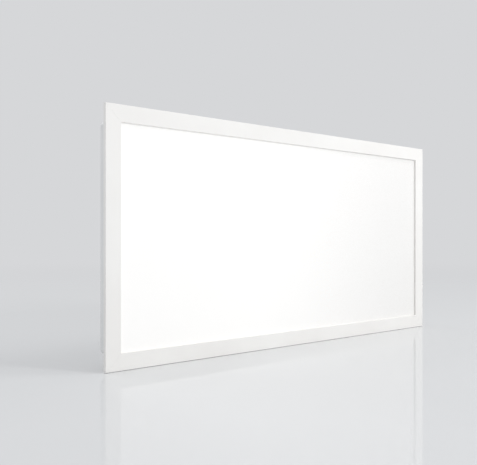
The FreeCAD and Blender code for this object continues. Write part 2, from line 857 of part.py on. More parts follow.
def back_pan():
    depth = (rim_depth, overall_depth)
    skin = rounded_plate(pan_half_length, depth, pan_half_height, pan_corner_radius)
    skin = skin.makeFillet(pan_rear_radius, edges_at_depth(skin, overall_depth))
    hollow = rounded_plate(
        pan_half_length - pan_wall, (0, pan_floor), pan_half_height - pan_wall,
        pan_corner_radius - pan_wall,
    )
    hollow = hollow.makeFillet(pan_rear_radius - pan_wall, edges_at_depth(hollow, pan_floor))
    outside = (pan_floor, overall_depth + bead_height)
    inside = (pan_floor - pan_wall, pan_floor + bead_height)
    outer = [bead(x, z, 0, outside, bead_radius) for x, z in pan_beads()]
    inner = [bead(x, z, -pan_wall, inside, bead_radius - bead_inner_step) for x, z in pan_beads()]
    pan = skin.cut(hollow).fuse(outer).cut(inner)
    floor = (pan_floor, overall_depth)
    holes = [disc(rivet_radius + hole_gap, floor, x, z) for z in strip_z for x in strip_rivet_x]
    holes += [disc(post_neck_radius + hole_gap, floor, x, z) for z in strip_z for x in post_x]
    holes += [disc(hanger_shank_radius + hole_gap, floor, x, z) for x, z in hanger_places()]
    holes += [disc(clip_rivet_radius + hole_gap, floor, x, z) for x, z in clip_places()]
    holes += [disc(screw_radius + hole_gap, floor, x, z) for x, z in box_screw_places()]
    holes.append(disc(grommet_hole_radius + hole_gap, floor, grommet_x, grommet_z))
    for point, direction in pan_screws_at():
        end = Vector(*point) + Vector(*direction) * pan_wall
        holes.append(cylinder(screw_radius + hole_gap, point, end))
    parts["back_pan"] = pan.cut(holes)
    reach = pan_wall + pan_fit + extrusion_wall + screw_tip
    parts["pan_screws"] = group([
        screw(point, direction, reach, screw_radius, screw_head_radius, screw_head)
        for point, direction in pan_screws_at()
    ])


def hanger_nuts():
    """Clinch nuts flush with the pan's rear face."""
    nut = turned([
        (hanger_bore_radius, pan_floor - hanger_body), (hanger_body_radius, pan_floor - hanger_body),
        (hanger_body_radius, pan_floor), (hanger_shank_radius, pan_floor),
        (hanger_shank_radius, overall_depth), (hanger_bore_radius, overall_depth),
    ])
    parts["hanger_nuts"] = group([moved(nut, x, 0, z) for x, z in hanger_places()])


# ---------------------------------------------------------------- hold-down clips
def clip():
    """A clip with its pivot at the origin and its arm along +X."""
    half = clip_width / 2
    y = (clip_front, clip_front + clip_thickness)
    arm = block((0, clip_reach), y, (-half, half))
    free_end = [e for e in edges_along(arm, Vector(0, 1, 0)) if e.BoundBox.XMin > clip_reach / 2]
    arm = arm.makeFillet(clip_end_radius, free_end)
    tab = block(
        (clip_reach - clip_thickness - clip_end_radius, clip_reach - clip_end_radius),
        (y[0], y[1] + clip_tab_height), (-clip_tab_width / 2, clip_tab_width / 2),
    )
    body = joined([arm, disc(half, y), tab])
    return body.cut(disc(clip_rivet_radius + hole_gap, y))


def clips():
    one = clip()
    for sx, side in ((-1, "left"), (1, "right")):
        arm = turned_about_y(one, 180) if sx > 0 else one
        for sz, level in ((-1, "bottom"), (1, "top")):
            parts["clip_" + level + "_" + side] = moved(arm, sx * clip_x, 0, sz * clip_z)
    head = clip_front + clip_thickness + clip_play
    rivet = turned([
        (0, pan_floor - clip_rivet_foot), (clip_rivet_foot_radius, pan_floor - clip_rivet_foot),
        (clip_rivet_foot_radius, pan_floor), (clip_rivet_radius, pan_floor),
        (clip_rivet_radius, overall_depth), (clip_shoulder_radius, overall_depth),
        (clip_shoulder_radius, overall_depth + clip_shoulder),
        (clip_rivet_radius, overall_depth + clip_shoulder), (clip_rivet_radius, head),
        (clip_rivet_head_radius, head),
        (clip_rivet_head_radius * 0.85, head + clip_rivet_head * 0.6),
        (clip_rivet_head_radius * 0.45, head + clip_rivet_head), (0, head + clip_rivet_head),
    ])
    parts["clip_rivets"] = group([moved(rivet, x, 0, z) for x, z in clip_places()])


# ---------------------------------------------------------------- driver box
def on_hinge(radius, low, high):
    """A cylinder on the hinge axis."""
    return cylinder(radius, (low, hinge_depth, hinge_z), (high, hinge_depth, hinge_z))


def knuckle(x, bore):
    """A hinge knuckle and the bore to cut through it and its leaf."""
    ends = (x - knuckle_length / 2, x + knuckle_length / 2)
    return on_hinge(knuckle_radius, *ends), on_hinge(bore, *ends)


def knuckle_step():
    return knuckle_length + knuckle_gap


def standoff_places():
    x = (board_start + standoff_inset, board_end - standoff_inset)
    z = (standoff_inset - board_half_width, board_half_width - standoff_inset)
    return [(a, b) for a in x for b in z]


def keeper_depth():
    """Front and rear of the keeper plate that the fastener's wing turns under."""
    low = wing_front() + wing_height + keeper_gap
    return (low, low + keeper_thickness)


def wing_front():
    return cover_front - wing_depth


def driver_channel():
    """Floor and two long walls folded from one sheet, with the box's half of the hinge knuckles."""
    outside = centred(box_half_length, (overall_depth, box_edge), box_half_width)
    outside = outside.makeFillet(box_bend_radius, edges_at(outside, overall_depth, Vector(1, 0, 0)))
    inside = centred(box_half_length, (box_floor, box_edge), box_half_width - box_sheet)
    bend_inside = box_bend_radius - box_sheet
    inside = inside.makeFillet(bend_inside, edges_at(inside, box_floor, Vector(1, 0, 0)))
    solids, bores = [outside.cut(inside)], []
    for side in (-hinge_x, hinge_x):
        for x in (side - knuckle_step(), side + knuckle_step()):
            barrel, bore = knuckle(x, hinge_pin_radius + pin_press_gap)
            leaf_top = hinge_depth - knuckle_radius + box_sheet
            leaf = block(
                (x - knuckle_length / 2, x + knuckle_length / 2),
                (hinge_depth - knuckle_radius, leaf_top), (box_half_width - box_sheet, hinge_z),
            )
            solids += [barrel, leaf]
            bores.append(bore)
    channel = joined(solids)
    floor = (overall_depth, box_floor)
    holes = list(bores)
    holes += [disc(screw_radius + hole_gap, floor, x, z) for x, z in box_screw_places()]
    holes += [
        disc(rivet_relief_radius, floor, x, z) for x in strip_rivet_x + post_x for z in strip_z
        if abs(x) < box_half_length and abs(z) < box_half_width
    ]
    holes.append(disc(grommet_hole_radius + hole_gap, floor, grommet_x, grommet_z))
    holes.append(disc(stud_radius + hole_gap, floor, stud_x, stud_z))
    half = slider_half_side + slider_travel + slot_gap
    for x in switch_x:
        holes.append(block(
            (x - half, x + half),
            (slider_depth - slider_half_side - slot_gap, slider_depth + slider_half_side + slot_gap),
            (-box_half_width, box_sheet - box_half_width),
        ))
    parts["driver_channel"] = channel.cut(holes)


def fastener_keeper():
    """An angle welded inside the box wall, with the slot that the wing enters and turns under."""
    x = (fastener_x - keeper_half_length, fastener_x + keeper_half_length)
    depth = keeper_depth()
    wall = box_sheet - box_half_width
    plate = block(x, depth, (wall, fastener_z + keeper_margin))
    flange = block(x, (depth[1] - keeper_flange, depth[1]), (wall, wall + keeper_thickness))
    half_x, half_z = wing_reach + keeper_slot_gap, wing_width / 2 + keeper_slot_gap
    slot = [
        disc(fastener_radius + keeper_slot_gap, depth, fastener_x, fastener_z),
        centred(half_x, depth, half_z, fastener_x, fastener_z),
    ]
    parts["fastener_keeper"] = joined([plate, flange]).cut(slot)


def end_plate(side):
    """An end plate inside the channel, with two tabs that share the box's screws."""
    x = sorted((side * box_half_length, side * (box_half_length - box_sheet)))
    half_z = box_half_width - box_sheet - end_fit
    plate = block(x, (box_floor, box_edge), (-half_z, half_z))
    bend = box_bend_radius - box_sheet + end_fit
    plate = plate.makeFillet(bend, edges_at(plate, box_floor, Vector(1, 0, 0)))
    solids = [plate]
    holes = [cylinder(inlet_hole_radius, (x[0], inlet_depth, 0), (x[1], inlet_depth, 0))]
    reach = sorted((side * box_half_length, side * (box_half_length - box_sheet - end_tab_length)))
    tab = (box_floor, box_floor + box_sheet)
    for z in (-box_screw_z, box_screw_z):
        solids.append(block(reach, tab, (z - end_tab_width / 2, z + end_tab_width / 2)))
        holes.append(disc(screw_radius + hole_gap, tab, side * box_screw_x, z))
    return joined(solids).cut(holes)


def driver_ends():
    parts["driver_end_plates"] = group([end_plate(-1), end_plate(1)])
    under_head = box_floor + box_sheet
    reach = 2 * box_sheet + pan_wall + screw_tip
    parts["driver_box_screws"] = group([
        screw((x, under_head, z), (0, -1, 0), reach, screw_radius, screw_head_radius, screw_head)
        for x, z in box_screw_places()
    ])


def inlet_fittings():
    """The bushing that the supply cable enters by, and the blank that closes the other end's hole."""
    end = box_sheet + inlet_inside
    bore = inlet_hole_radius - hole_gap - blank_wall
    inlet = snap_fitting(inlet_bore_radius, inlet_flange) + [(inlet_bore_radius, end)]
    blank = snap_fitting(0, blank_flange) + [(bore, end), (bore, 0), (0, 0)]
    bushing, plug = turned(inlet, Vector(1, 0, 0)), turned(blank, Vector(1, 0, 0))
    parts["inlet_bushing"] = moved(bushing, -box_half_length, inlet_depth, 0)
    parts["blanking_plug"] = moved(turned_about_y(plug, 180), box_half_length, inlet_depth, 0)


def snap_fitting(bore, flange):
    """The outer profile that both share: flange outside the plate, neck in its hole, snap inside."""
    neck = inlet_hole_radius - hole_gap
    inner = box_sheet + snap_gap
    rim = inlet_flange_radius
    return [
        (bore, -flange), (rim - flange_chamfer, -flange), (rim, flange_chamfer - flange), (rim, 0),
        (neck, 0), (neck, inner), (snap_radius, inner),
        (neck - snap_taper, inner + snap_length), (neck - snap_taper, box_sheet + inlet_inside),
    ]


def driver_cover():
    """A lid with a skirt on three sides, hung from the hinge knuckles on its fourth."""
    outer_x = box_half_length + cover_side_gap + box_sheet
    lower = -(box_half_width + cover_side_gap + box_sheet)
    lid = block((-outer_x, outer_x), (cover_front - cover_skirt, cover_rear), (lower, box_half_width))
    rim = [e for e in edges_at_depth(lid, cover_rear) if e.BoundBox.ZMin < box_half_width - 1e-4]
    lid = lid.makeFillet(cover_edge_radius, rim)
    inside = block(
        (box_sheet - outer_x, outer_x - box_sheet), (cover_front - cover_skirt, cover_front),
        (lower + box_sheet, box_half_width),
    )
    solids, holes = [lid.cut(inside)], []
    for x in (-hinge_x, hinge_x):
        barrel, bore = knuckle(x, hinge_pin_radius + pin_running_gap)
        leaf = block(
            (x - knuckle_length / 2, x + knuckle_length / 2), (cover_front, cover_rear),
            (box_half_width, hinge_z),
        )
        solids += [barrel, leaf]
        holes.append(bore)
    holes.append(disc(fastener_radius + fastener_play, (cover_front, cover_rear), fastener_x, fastener_z))
    parts["driver_cover"] = joined(solids).cut(holes)
    parts["hinge_pins"] = group([hinge_pin(x) for x in (-hinge_x, hinge_x)])


def hinge_pin(x):
    """A headed pin through three knuckles."""
    half = knuckle_step() + knuckle_length / 2
    shaft = on_hinge(hinge_pin_radius, x - half, x + half)
    left_head = on_hinge(pin_head_radius, x - half - pin_head, x - half)
    right_head = on_hinge(pin_head_radius, x + half, x + half + pin_head)
    return joined([shaft, left_head, right_head])


def cover_fastener():
    """Fluted knob, stem, captive ring and the wing that turns under the keeper plate."""
    base = cover_rear + cover_gap
    top = base + knob_height
    knob = disc(knob_radius, (base, top))
    knob = knob.makeFillet(cover_edge_radius, edges_at_depth(knob, top))
    flutes = []
    for i in range(knob_flutes):
        angle = 2 * math.pi * i / knob_flutes
        x, z = knob_radius * math.cos(angle), knob_radius * math.sin(angle)
        flutes.append(disc(knob_flute_radius, (base, top), x, z))
    knob = knob.cut(flutes)
    knob = knob.cut(centred(knob_radius, (top - knob_slot_depth, top), knob_slot_width / 2))
    stem = disc(fastener_radius, (wing_front(), base))
    ring = disc(retainer_radius, (cover_front - cover_gap - retainer_height, cover_front - cover_gap))
    wing = centred(wing_reach, (wing_front(), wing_front() + wing_height), wing_width / 2)
    parts["cover_fastener"] = moved(joined([knob, stem, ring, wing]), fastener_x, 0, fastener_z)


# ---------------------------------------------------------------- supply side
def cable_clamp():
    half = clamp_length / 2
    x = (clamp_x - half, clamp_x + half)
    z = (-clamp_half_width, clamp_half_width)
    base_top = box_floor + clamp_base_height
    bar_low = base_top + clamp_opening
    bar_top = bar_low + clamp_bar_height
    base = block(x, (box_floor, base_top), z)
    bar = block(x, (bar_low, bar_top), z)
    lift = clamp_groove_radius - clamp_groove_depth
    base = base.cut(cylinder(clamp_groove_radius, (x[0], base_top + lift, 0), (x[1], base_top + lift, 0)))
    bar = bar.cut(cylinder(clamp_groove_radius, (x[0], bar_low - lift, 0), (x[1], bar_low - lift, 0)))
    screws = []
    for side in (-clamp_screw_z, clamp_screw_z):
        hole = disc(clamp_screw_radius + hole_gap, (box_floor, bar_top), clamp_x, side)
        base, bar = base.cut(hole), bar.cut(hole)
        screws.append(screw(
            (clamp_x, bar_top, side), (0, -1, 0), bar_top - box_floor - box_sheet,
            clamp_screw_radius, clamp_screw_head_radius, clamp_screw_head,
        ))
    parts["cable_clamp_base"] = base
    parts["cable_clamp_bar"] = bar
    parts["cable_clamp_screws"] = group(screws)


def terminal_block():
    half = terminal_length / 2
    half_width = 1.5 * pole_pitch + terminal_side
    body = centred(half, (box_floor, terminal_top), half_width, terminal_x)
    body = body.makeChamfer(terminal_chamfer, edges_at_depth(body, terminal_top))
    cuts = []
    for z in (-pole_pitch, 0, pole_pitch):
        for side in (-1, 1):
            face = terminal_x + side * half
            end = face - side * entry_length
            cuts.append(cylinder(entry_radius, (face, entry_depth, z), (end, entry_depth, z)))
        cuts.append(centred(
            button_side / 2 + button_gap, (terminal_top - button_well, terminal_top),
            button_side / 2 + button_gap, button_x, z,
        ))
    for z in (-pole_pitch / 2, pole_pitch / 2):
        groove = (terminal_top - button_groove_depth, terminal_top)
        cuts.append(centred(half, groove, button_groove_width / 2, terminal_x, z))
    parts["terminal_block"] = body.cut(cuts)
    low = terminal_top - button_well + button_travel + button_gap
    high = terminal_top + button_stand
    for name, z in (("live", -pole_pitch), ("neutral", 0), ("earth", pole_pitch)):
        button = centred(button_side / 2, (low, high), button_side / 2, button_x, z)
        button = button.cut(centred(
            button_side / 2, (high - button_groove_depth, high), button_groove_width / 2, button_x, z,
        ))
        parts["release_button_" + name] = button


def mains_leads():
    start = terminal_x + terminal_length / 2 - entry_length
    face = terminal_x + terminal_length / 2
    into = board_start + connector_inset
    height = board_top + board_connector_height / 2
    middle = (face + into) / 2
    centre = sum(input_connector_z) / 2
    runs = (("live_lead", -pole_pitch, -pin_pitch / 2), ("neutral_lead", 0, pin_pitch / 2))
    for name, z, pin in runs:
        parts[name] = lead([
            (start, entry_depth, z), (middle - lead_rise_half, entry_depth, z),
            (middle + lead_rise_half, height, centre + pin), (into, height, centre + pin),
        ], mains_lead_radius)
    barrel = (stud_x, lug_depth(), lug_barrel_start())
    parts["earth_lead"] = lead([
        (start, entry_depth, pole_pitch), (stud_x - earth_turn, entry_depth, pole_pitch),
        (stud_x, barrel[1], barrel[2] - earth_turn), barrel,
    ], mains_lead_radius)


def lug_depth():
    return box_floor + stud_collar + lug_thickness / 2


def lug_barrel_start():
    return stud_z - lug_radius - lug_neck - lug_barrel_length


def earth_point():
    collar_top = box_floor + stud_collar
    tip = box_floor + stud_top
    stud = turned([
        (0, overall_depth), (stud_radius, overall_depth), (stud_radius, box_floor),
        (stud_collar_radius, box_floor), (stud_collar_radius, collar_top), (stud_radius, collar_top),
        (stud_radius, tip - stud_chamfer), (stud_radius - stud_chamfer, tip), (0, tip),
    ])
    parts["earth_stud"] = moved(stud, stud_x, 0, stud_z)
    flat = (collar_top, collar_top + lug_thickness)
    ring = disc(lug_radius, flat, stud_x, stud_z)
    barrel_start = (stud_x, lug_depth(), lug_barrel_start())
    barrel_end = (stud_x, lug_depth(), lug_barrel_start() + lug_barrel_length)
    neck_x = (stud_x - lug_neck_half_width, stud_x + lug_neck_half_width)
    neck = block(neck_x, flat, (barrel_end[2] - lug_barrel_lap, stud_z))
    barrel = cylinder(lug_barrel_radius, barrel_start, barrel_end)
    bore = disc(stud_radius + hole_gap, flat, stud_x, stud_z)
    parts["earth_lug"] = joined([ring, neck, barrel]).cut(bore)
    corner = nut_across_flats / math.sqrt(3)
    points = [
        (stud_x + corner * math.cos(math.radians(a)), stud_z + corner * math.sin(math.radians(a)))
        for a in range(0, 360, 60)
    ]
    depth = (collar_top + lug_thickness, collar_top + lug_thickness + nut_height)
    parts["earth_nut"] = prism(points, depth).cut(disc(stud_radius + hole_gap, depth, stud_x, stud_z))


# ---------------------------------------------------------------- driver electronics
def driver_board():
    depth = (board_front, board_top)
    board = block((board_start, board_end), depth, (-board_half_width, board_half_width))
    parts["driver_board"] = board.cut(
        [disc(standoff_neck_radius + hole_gap, depth, x, z) for x, z in standoff_places()]
    )
    tip = board_top + hole_gap
    post = turned([
        (0, box_floor), (standoff_radius, box_floor), (standoff_radius, board_front),
        (standoff_neck_radius, board_front), (standoff_neck_radius, tip), (standoff_tip_radius, tip),
        (standoff_neck_radius * 0.6, tip + standoff_tip), (0, tip + standoff_tip),
    ])
    parts["board_standoffs"] = group([moved(post, x, 0, z) for x, z in standoff_places()])
    height = (board_top, board_top + board_connector_height)
    places = ((row_starts[0], input_connector_z), (row_starts[-1], output_connector_z))
    parts["board_connectors"] = group([
        block((start, start + board_connector_length), height, z) for start, z in places
    ])


def transformer():
    half = core_length / 2
    low = board_top + bobbin_foot
    core = centred(half, (low, low + core_height), core_width / 2, transformer_x)
    window_half = half - core_leg
    window = (low + core_yoke, low + core_height - core_yoke)
    core = core.cut(centred(window_half, window, core_width / 2, transformer_x))
    parts["transformer_core"] = core
    coil = centred(
        window_half - coil_fit, (window[0] + coil_fit, window[1] - coil_fit), coil_length / 2, transformer_x
    )
    parts["transformer_coil"] = coil.makeFillet(coil_radius, edges_along(coil, Vector(0, 0, 1)))
    flanges = []
    flange_half = window_half + bobbin_margin
    x = (transformer_x - flange_half, transformer_x + flange_half)
    for side in (-1, 1):
        z = sorted((side * coil_length / 2, side * (coil_length / 2 + bobbin_flange)))
        flanges.append(block(x, (board_top, window[1] + core_yoke / 2), z))
    parts["transformer_bobbin"] = group(flanges)


def capacitors():
    """A large one lying on the board along Z, and two small ones standing on it."""
    bulk_y = board_top + bulk_radius
    low, high = bulk_z - bulk_length / 2, bulk_z + bulk_length / 2
    upright = (board_top, board_top + output_cap_height)
    cans = [cylinder(bulk_radius, (bulk_x, bulk_y, low), (bulk_x, bulk_y, high))]
    cans += [disc(output_cap_radius, upright, x, output_cap_z) for x in output_cap_x]
    parts["capacitors"] = group([can.makeFillet(cap_edge_radius, round_edges(can)) for can in cans])


def round_edges(shape):
    return [e for e in shape.Edges if isinstance(e.Curve, Part.Circle)]


def heat_sink():
    y = (board_top, board_top + sink_height)
    plate = block((sink_x, sink_x + sink_plate), y, (sink_start_z, sink_end_z))
    count = int((sink_end_z - sink_start_z) / fin_pitch)
    fins = []
    for i in range(count + 1):
        z = sink_start_z + i * fin_pitch
        z = min(z, sink_end_z - fin_thickness)
        fins.append(block((sink_x, sink_x + sink_plate + fin_length), y, (z, z + fin_thickness)))
    parts["heat_sink"] = joined([plate] + fins)


def selector_switches():
    """Two slide switches on the board's edge, whose sliders stand out through the box wall."""
    y = (board_top, board_top + switch_height)
    inner_wall = box_sheet - box_half_width
    z = (inner_wall + slider_gap, switch_overlap - board_half_width)
    tip = -box_half_width - slider_reach
    knob_y = (slider_depth - slider_half_side, slider_depth + slider_half_side)
    well_y = (knob_y[0] - slider_gap, knob_y[1] + slider_gap)
    well_half = slider_half_side + slider_travel + slider_gap
    bodies = []
    for x, name in zip(switch_x, ("colour_slider", "power_slider")):
        body = block((x - switch_half_length, x + switch_half_length), y, z)
        well = block((x - well_half, x + well_half), well_y, (z[0], z[0] + slider_root + slider_gap))
        bodies.append(body.cut(well))
        knob = block((x - slider_half_side, x + slider_half_side), knob_y, (tip, z[0] + slider_root))
        for centre in (x - slider_half_side / 2, x + slider_half_side / 2):
            groove_x = (centre - slider_groove / 2, centre + slider_groove / 2)
            knob = knob.cut(block(groove_x, knob_y, (tip, tip + slider_groove)))
        parts[name] = knob
    parts["switch_bodies"] = group(bodies)


# ---------------------------------------------------------------- low-voltage leads
def grommet():
    """A rubber ring through the pan floor and the box floor, with a flange on each side."""
    front, rear = pan_floor - grommet_flange, box_floor + grommet_flange
    rim, cut = grommet_flange_radius, grommet_chamfer
    parts["lead_grommet"] = moved(turned([
        (grommet_bore_radius, front), (rim - cut, front), (rim, front + cut), (rim, pan_floor),
        (grommet_hole_radius, pan_floor), (grommet_hole_radius, box_floor),
        (rim, box_floor), (rim, rear - cut), (rim - cut, rear), (grommet_bore_radius, rear),
    ]), grommet_x, 0, grommet_z)


def dc_leads():
    """Two leads from the driver board, through the grommet and along the pan to the first LED board."""
    half = dc_lead_spacing / 2
    exit_z = sum(output_connector_z) / 2
    end = connector_face(strip_z[2] - strip_width / 2, -1)
    across, along = connector_x - grommet_x, end - grommet_z - 2 * dc_turn_run
    # a shallow slope brings the leads together, so their turns are then staggered along Z
    wanted = dc_slope_spacing / dc_lead_spacing * math.hypot(across, along)
    stagger = max(0.0, (wanted - along) / across)
    for name, shift in (("dc_lead_negative", -half), ("dc_lead_positive", half)):
        height = board_top + dc_exit_height + shift
        down, into = grommet_x + shift, connector_x + shift
        step = stagger * shift
        parts[name] = lead([
            (board_end, height, exit_z), (board_end + dc_exit_run, height, exit_z),
            (down, height, grommet_z), (down, lead_depth, grommet_z),
            (down, lead_depth, grommet_z + dc_turn_run - step),
            (into, lead_depth, end - dc_turn_run - step), (into, lead_depth, end),
        ], dc_lead_radius)


def build():
    frame()
    corner_keys()
    diffuser()
    reflector_tray()
    led_boards()
    jumper_leads()
    reflector_posts()
    back_pan()
    hanger_nuts()
    clips()
    driver_channel()
    fastener_keeper()
    driver_ends()
    inlet_fittings()
    driver_cover()
    cover_fastener()
    cable_clamp()
    terminal_block()
    mains_leads()
    earth_point()
    driver_board()
    transformer()
    capacitors()
    heat_sink()
    selector_switches()
    grommet()
    dc_leads()


def export():
    os.makedirs("parts", exist_ok=True)
    for name, shape in parts.items():
        solids = shape.Solids
        volume = sum(s.Volume for s in solids)
        if not shape.isValid() or not solids or volume <= 0:
            print("PROBLEM", name, shape.isValid(), len(solids), volume)
        shape = solids[0] if len(solids) == 1 else group(solids)
        shape.exportStep("parts/" + name + ".step")
        print(name, len(solids), round(volume, 1))
    print(len(parts), "nodes")


build()
export()
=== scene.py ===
import math

import bmesh
import bpy
import numpy as np
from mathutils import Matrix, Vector


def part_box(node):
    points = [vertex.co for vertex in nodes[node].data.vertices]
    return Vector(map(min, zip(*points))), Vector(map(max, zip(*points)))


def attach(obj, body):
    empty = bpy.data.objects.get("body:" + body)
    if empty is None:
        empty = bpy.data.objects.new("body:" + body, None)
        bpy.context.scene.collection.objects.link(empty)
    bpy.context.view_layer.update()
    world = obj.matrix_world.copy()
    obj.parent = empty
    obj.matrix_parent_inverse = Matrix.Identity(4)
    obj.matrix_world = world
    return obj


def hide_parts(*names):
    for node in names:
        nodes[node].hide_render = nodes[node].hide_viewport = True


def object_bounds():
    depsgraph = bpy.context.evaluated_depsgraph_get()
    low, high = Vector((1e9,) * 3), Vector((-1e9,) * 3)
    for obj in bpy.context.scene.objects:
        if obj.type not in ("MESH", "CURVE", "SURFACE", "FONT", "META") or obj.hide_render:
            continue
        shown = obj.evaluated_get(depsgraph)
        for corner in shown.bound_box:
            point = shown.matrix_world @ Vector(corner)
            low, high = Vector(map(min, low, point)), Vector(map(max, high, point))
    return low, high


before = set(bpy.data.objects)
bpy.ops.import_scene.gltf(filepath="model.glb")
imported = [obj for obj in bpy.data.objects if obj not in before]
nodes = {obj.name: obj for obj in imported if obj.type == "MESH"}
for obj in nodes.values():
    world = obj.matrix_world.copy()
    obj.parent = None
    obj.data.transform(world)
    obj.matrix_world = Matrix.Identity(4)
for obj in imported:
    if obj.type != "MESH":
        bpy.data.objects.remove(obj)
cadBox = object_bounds()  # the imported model's box, before anything is added
mm = 0.001
print("packed model loaded:", len(nodes), "pieces")

view = {
    "azimuth": 40.53,  # degrees the camera stands to the left of the panel's own axis
    "distance": 0.913,  # along the line of sight, to the light opening's centre
    "sideways": 0.0816,  # how far the line of sight passes left of that centre
    "lens": 49.95,  # mm, on a 36 mm wide sensor
    "lift": 0.0108,  # vertical shift, as a share of the picture's width
}


def makeCamera():
    turn = math.radians(view["azimuth"])
    forward = Vector((math.sin(turn), math.cos(turn), 0))
    right = Vector((math.cos(turn), -math.sin(turn), 0))
    data = bpy.data.cameras.new("camera")
    data.lens = view["lens"]
    data.sensor_width = 36.0
    data.shift_y = view["lift"]
    data.clip_start = 0.01
    camera = bpy.data.objects.new("camera", data)
    camera.location = -forward * view["distance"] - right * view["sideways"]
    camera.rotation_euler = (math.radians(90), 0, -turn)
    bpy.context.scene.collection.objects.link(camera)
    bpy.context.scene.camera = camera


def linear(hexColour):
    # the linear red, green, blue and alpha of an sRGB colour such as "d6d7d9"
    channels = [int(hexColour[i : i + 2], 16) / 255 for i in (0, 2, 4)]
    return [c / 12.92 if c <= 0.04045 else ((c + 0.055) / 1.055) ** 2.4 for c in channels] + [1]


def addNode(tree, kind, settings=None, links=None):
    # adds a node, sets its properties, inputs and colour stops, and links inputs from (node, output) pairs
    node = tree.nodes.new(kind)
    for key, value in (settings or {}).items():
        if key == "stops":
            for element, (position, colour) in zip(node.color_ramp.elements, value):
                element.position, element.color = position, linear(colour)
        elif isinstance(key, str) and hasattr(node, key):
            setattr(node, key, value)
        else:
            node.inputs[key].default_value = value
    for key, (source, output) in (links or {}).items():
        tree.links.new(source.outputs[output], node.inputs[key])
    return node


def newMaterial(name):
    material = bpy.data.materials.new(name)
    material.use_nodes = True
    material.node_tree.nodes.clear()
    return material, material.node_tree


studio = {
    "backdrop": "d6d7d9",
    "lights": [  # name, watts, size, direction it stands in, distance; sizes in metres
        ("keyLight", 8.0, 0.9, (0.447, -0.382, 0.809), 2.2),
        ("frontLight", 18.5, 0.5, (0.36, -0.83, 0.36), 2.4),
        ("rearLight", 8.0, 1.6, (-0.5, 0.9, 0.9), 2.4),
    ],
    "largeLight": 1.0,  # a smaller lamp than this would show as a bright disc in the floor
    "floorColour": "dcddde",
    "floorRoughness": 0.05,
    "floorGap": 0.0003,  # shade under the frame, whose lower corners the coating rounds
    "floorRadius": 9.0,
    "floorSides": 96,
    "fadeStart": 1.2,  # metres from the panel where the floor starts to turn into the backdrop
    "fadeEnd": 3.4,
}


def makeStudio():
    scene = bpy.context.scene
    scene.view_settings.view_transform = "Standard"
    world = bpy.data.worlds.new("studio")
    world.use_nodes = True
    world.node_tree.nodes["Background"].inputs["Color"].default_value = linear(studio["backdrop"])
    scene.world = world
    for name, power, size, direction, distance in studio["lights"]:
        data = bpy.data.lights.new(name, "AREA")
        data.shape = "DISK"
        data.energy = power
        data.size = size
        lamp = bpy.data.objects.new(name, data)
        direction = Vector(direction).normalized()
        lamp.location = direction * distance
        lamp.rotation_euler = direction.to_track_quat("Z", "Y").to_euler()
        lamp.visible_glossy = size > studio["largeLight"]
        scene.collection.objects.link(lamp)

    # the floor is one flat disc
    steps = np.linspace(0, 2 * np.pi, studio["floorSides"], endpoint=False)
    ring = np.stack([np.cos(steps), np.sin(steps), np.zeros_like(steps)], 1) * studio["floorRadius"]
    mesh = bpy.data.meshes.new("floor")
    level = cadBox[0].z - studio["floorGap"]
    mesh.from_pydata((ring + [0, 0, level]).tolist(), [], [list(range(len(ring)))])
    floor = bpy.data.objects.new("floor", mesh)
    scene.collection.objects.link(floor)
    floor.data.materials.append(polishedBoard())
    print("camera,", len(studio["lights"]), "lights and the floor")


def polishedBoard():
    # polished pale board: a faint mirror image near the panel, and no visible edge far away
    material, tree = newMaterial("polishedBoard")
    place = addNode(tree, "ShaderNodeTexCoord")
    far = addNode(tree, "ShaderNodeVectorMath", {"operation": "LENGTH"}, {0: (place, "Object")})
    fade = addNode(
        tree, "ShaderNodeMapRange",
        {"interpolation_type": "SMOOTHSTEP", "From Min": studio["fadeStart"], "From Max": studio["fadeEnd"]},
        {"Value": (far, "Value")},
    )
    board = addNode(tree, "ShaderNodeBsdfPrincipled", {
        "Base Color": linear(studio["floorColour"]), "Roughness": studio["floorRoughness"],
    })
    glow = addNode(tree, "ShaderNodeEmission", {"Color": linear(studio["backdrop"])})
    mix = addNode(
        tree, "ShaderNodeMixShader", {}, {0: (fade, "Result"), 1: (board, "BSDF"), 2: (glow, "Emission")}
    )
    addNode(tree, "ShaderNodeOutputMaterial", {}, {"Surface": (mix, "Shader")})
    return material


# Patterns that the finishes share. Every size and height is in millimetres.


def startPlace(tree, stretch=(1, 1, 1)):
    # object coordinates; a factor under 1 draws a pattern out along that axis
    place = addNode(tree, "ShaderNodeTexCoord")
    drawn = addNode(tree, "ShaderNodeMapping", {"Scale": stretch}, {"Vector": (place, "Object")})
    return drawn, "Vector"


def drift(tree, place, low, high, size):
    # a colour that wanders between two over patches of the given size; noise stays near a half, so the two
    # colours stand close on each side of it
    noise = addNode(tree, "ShaderNodeTexNoise", {"Scale": 1 / (size * mm), "Detail": 3.0}, {"Vector": place})
    colour = addNode(
        tree, "ShaderNodeValToRGB", {"stops": [(0.35, low), (0.65, high)]}, {"Fac": (noise, "Fac")}
    )
    return colour, "Color"


def grain(tree, place, size, height, under=None):
    # lumps about size across and height high, laid over another bump
    noise = addNode(tree, "ShaderNodeTexNoise", {"Scale": 1 / (size * mm), "Detail": 2.0}, {"Vector": place})
    links = {"Height": (noise, "Fac")}
    if under:
        links["Normal"] = under
    bump = addNode(tree, "ShaderNodeBump", {"Distance": height * mm}, links)
    return bump, "Normal"


def patchyRoughness(tree, place, low, high, size):
    # a roughness that wanders between two values in the same way
    noise = addNode(tree, "ShaderNodeTexNoise", {"Scale": 1 / (size * mm), "Detail": 4.0}, {"Vector": place})
    rough = addNode(
        tree, "ShaderNodeMapRange", {"From Min": 0.3, "From Max": 0.7, "To Min": low, "To Max": high},
        {"Value": (noise, "Fac")},
    )
    return rough, "Result"


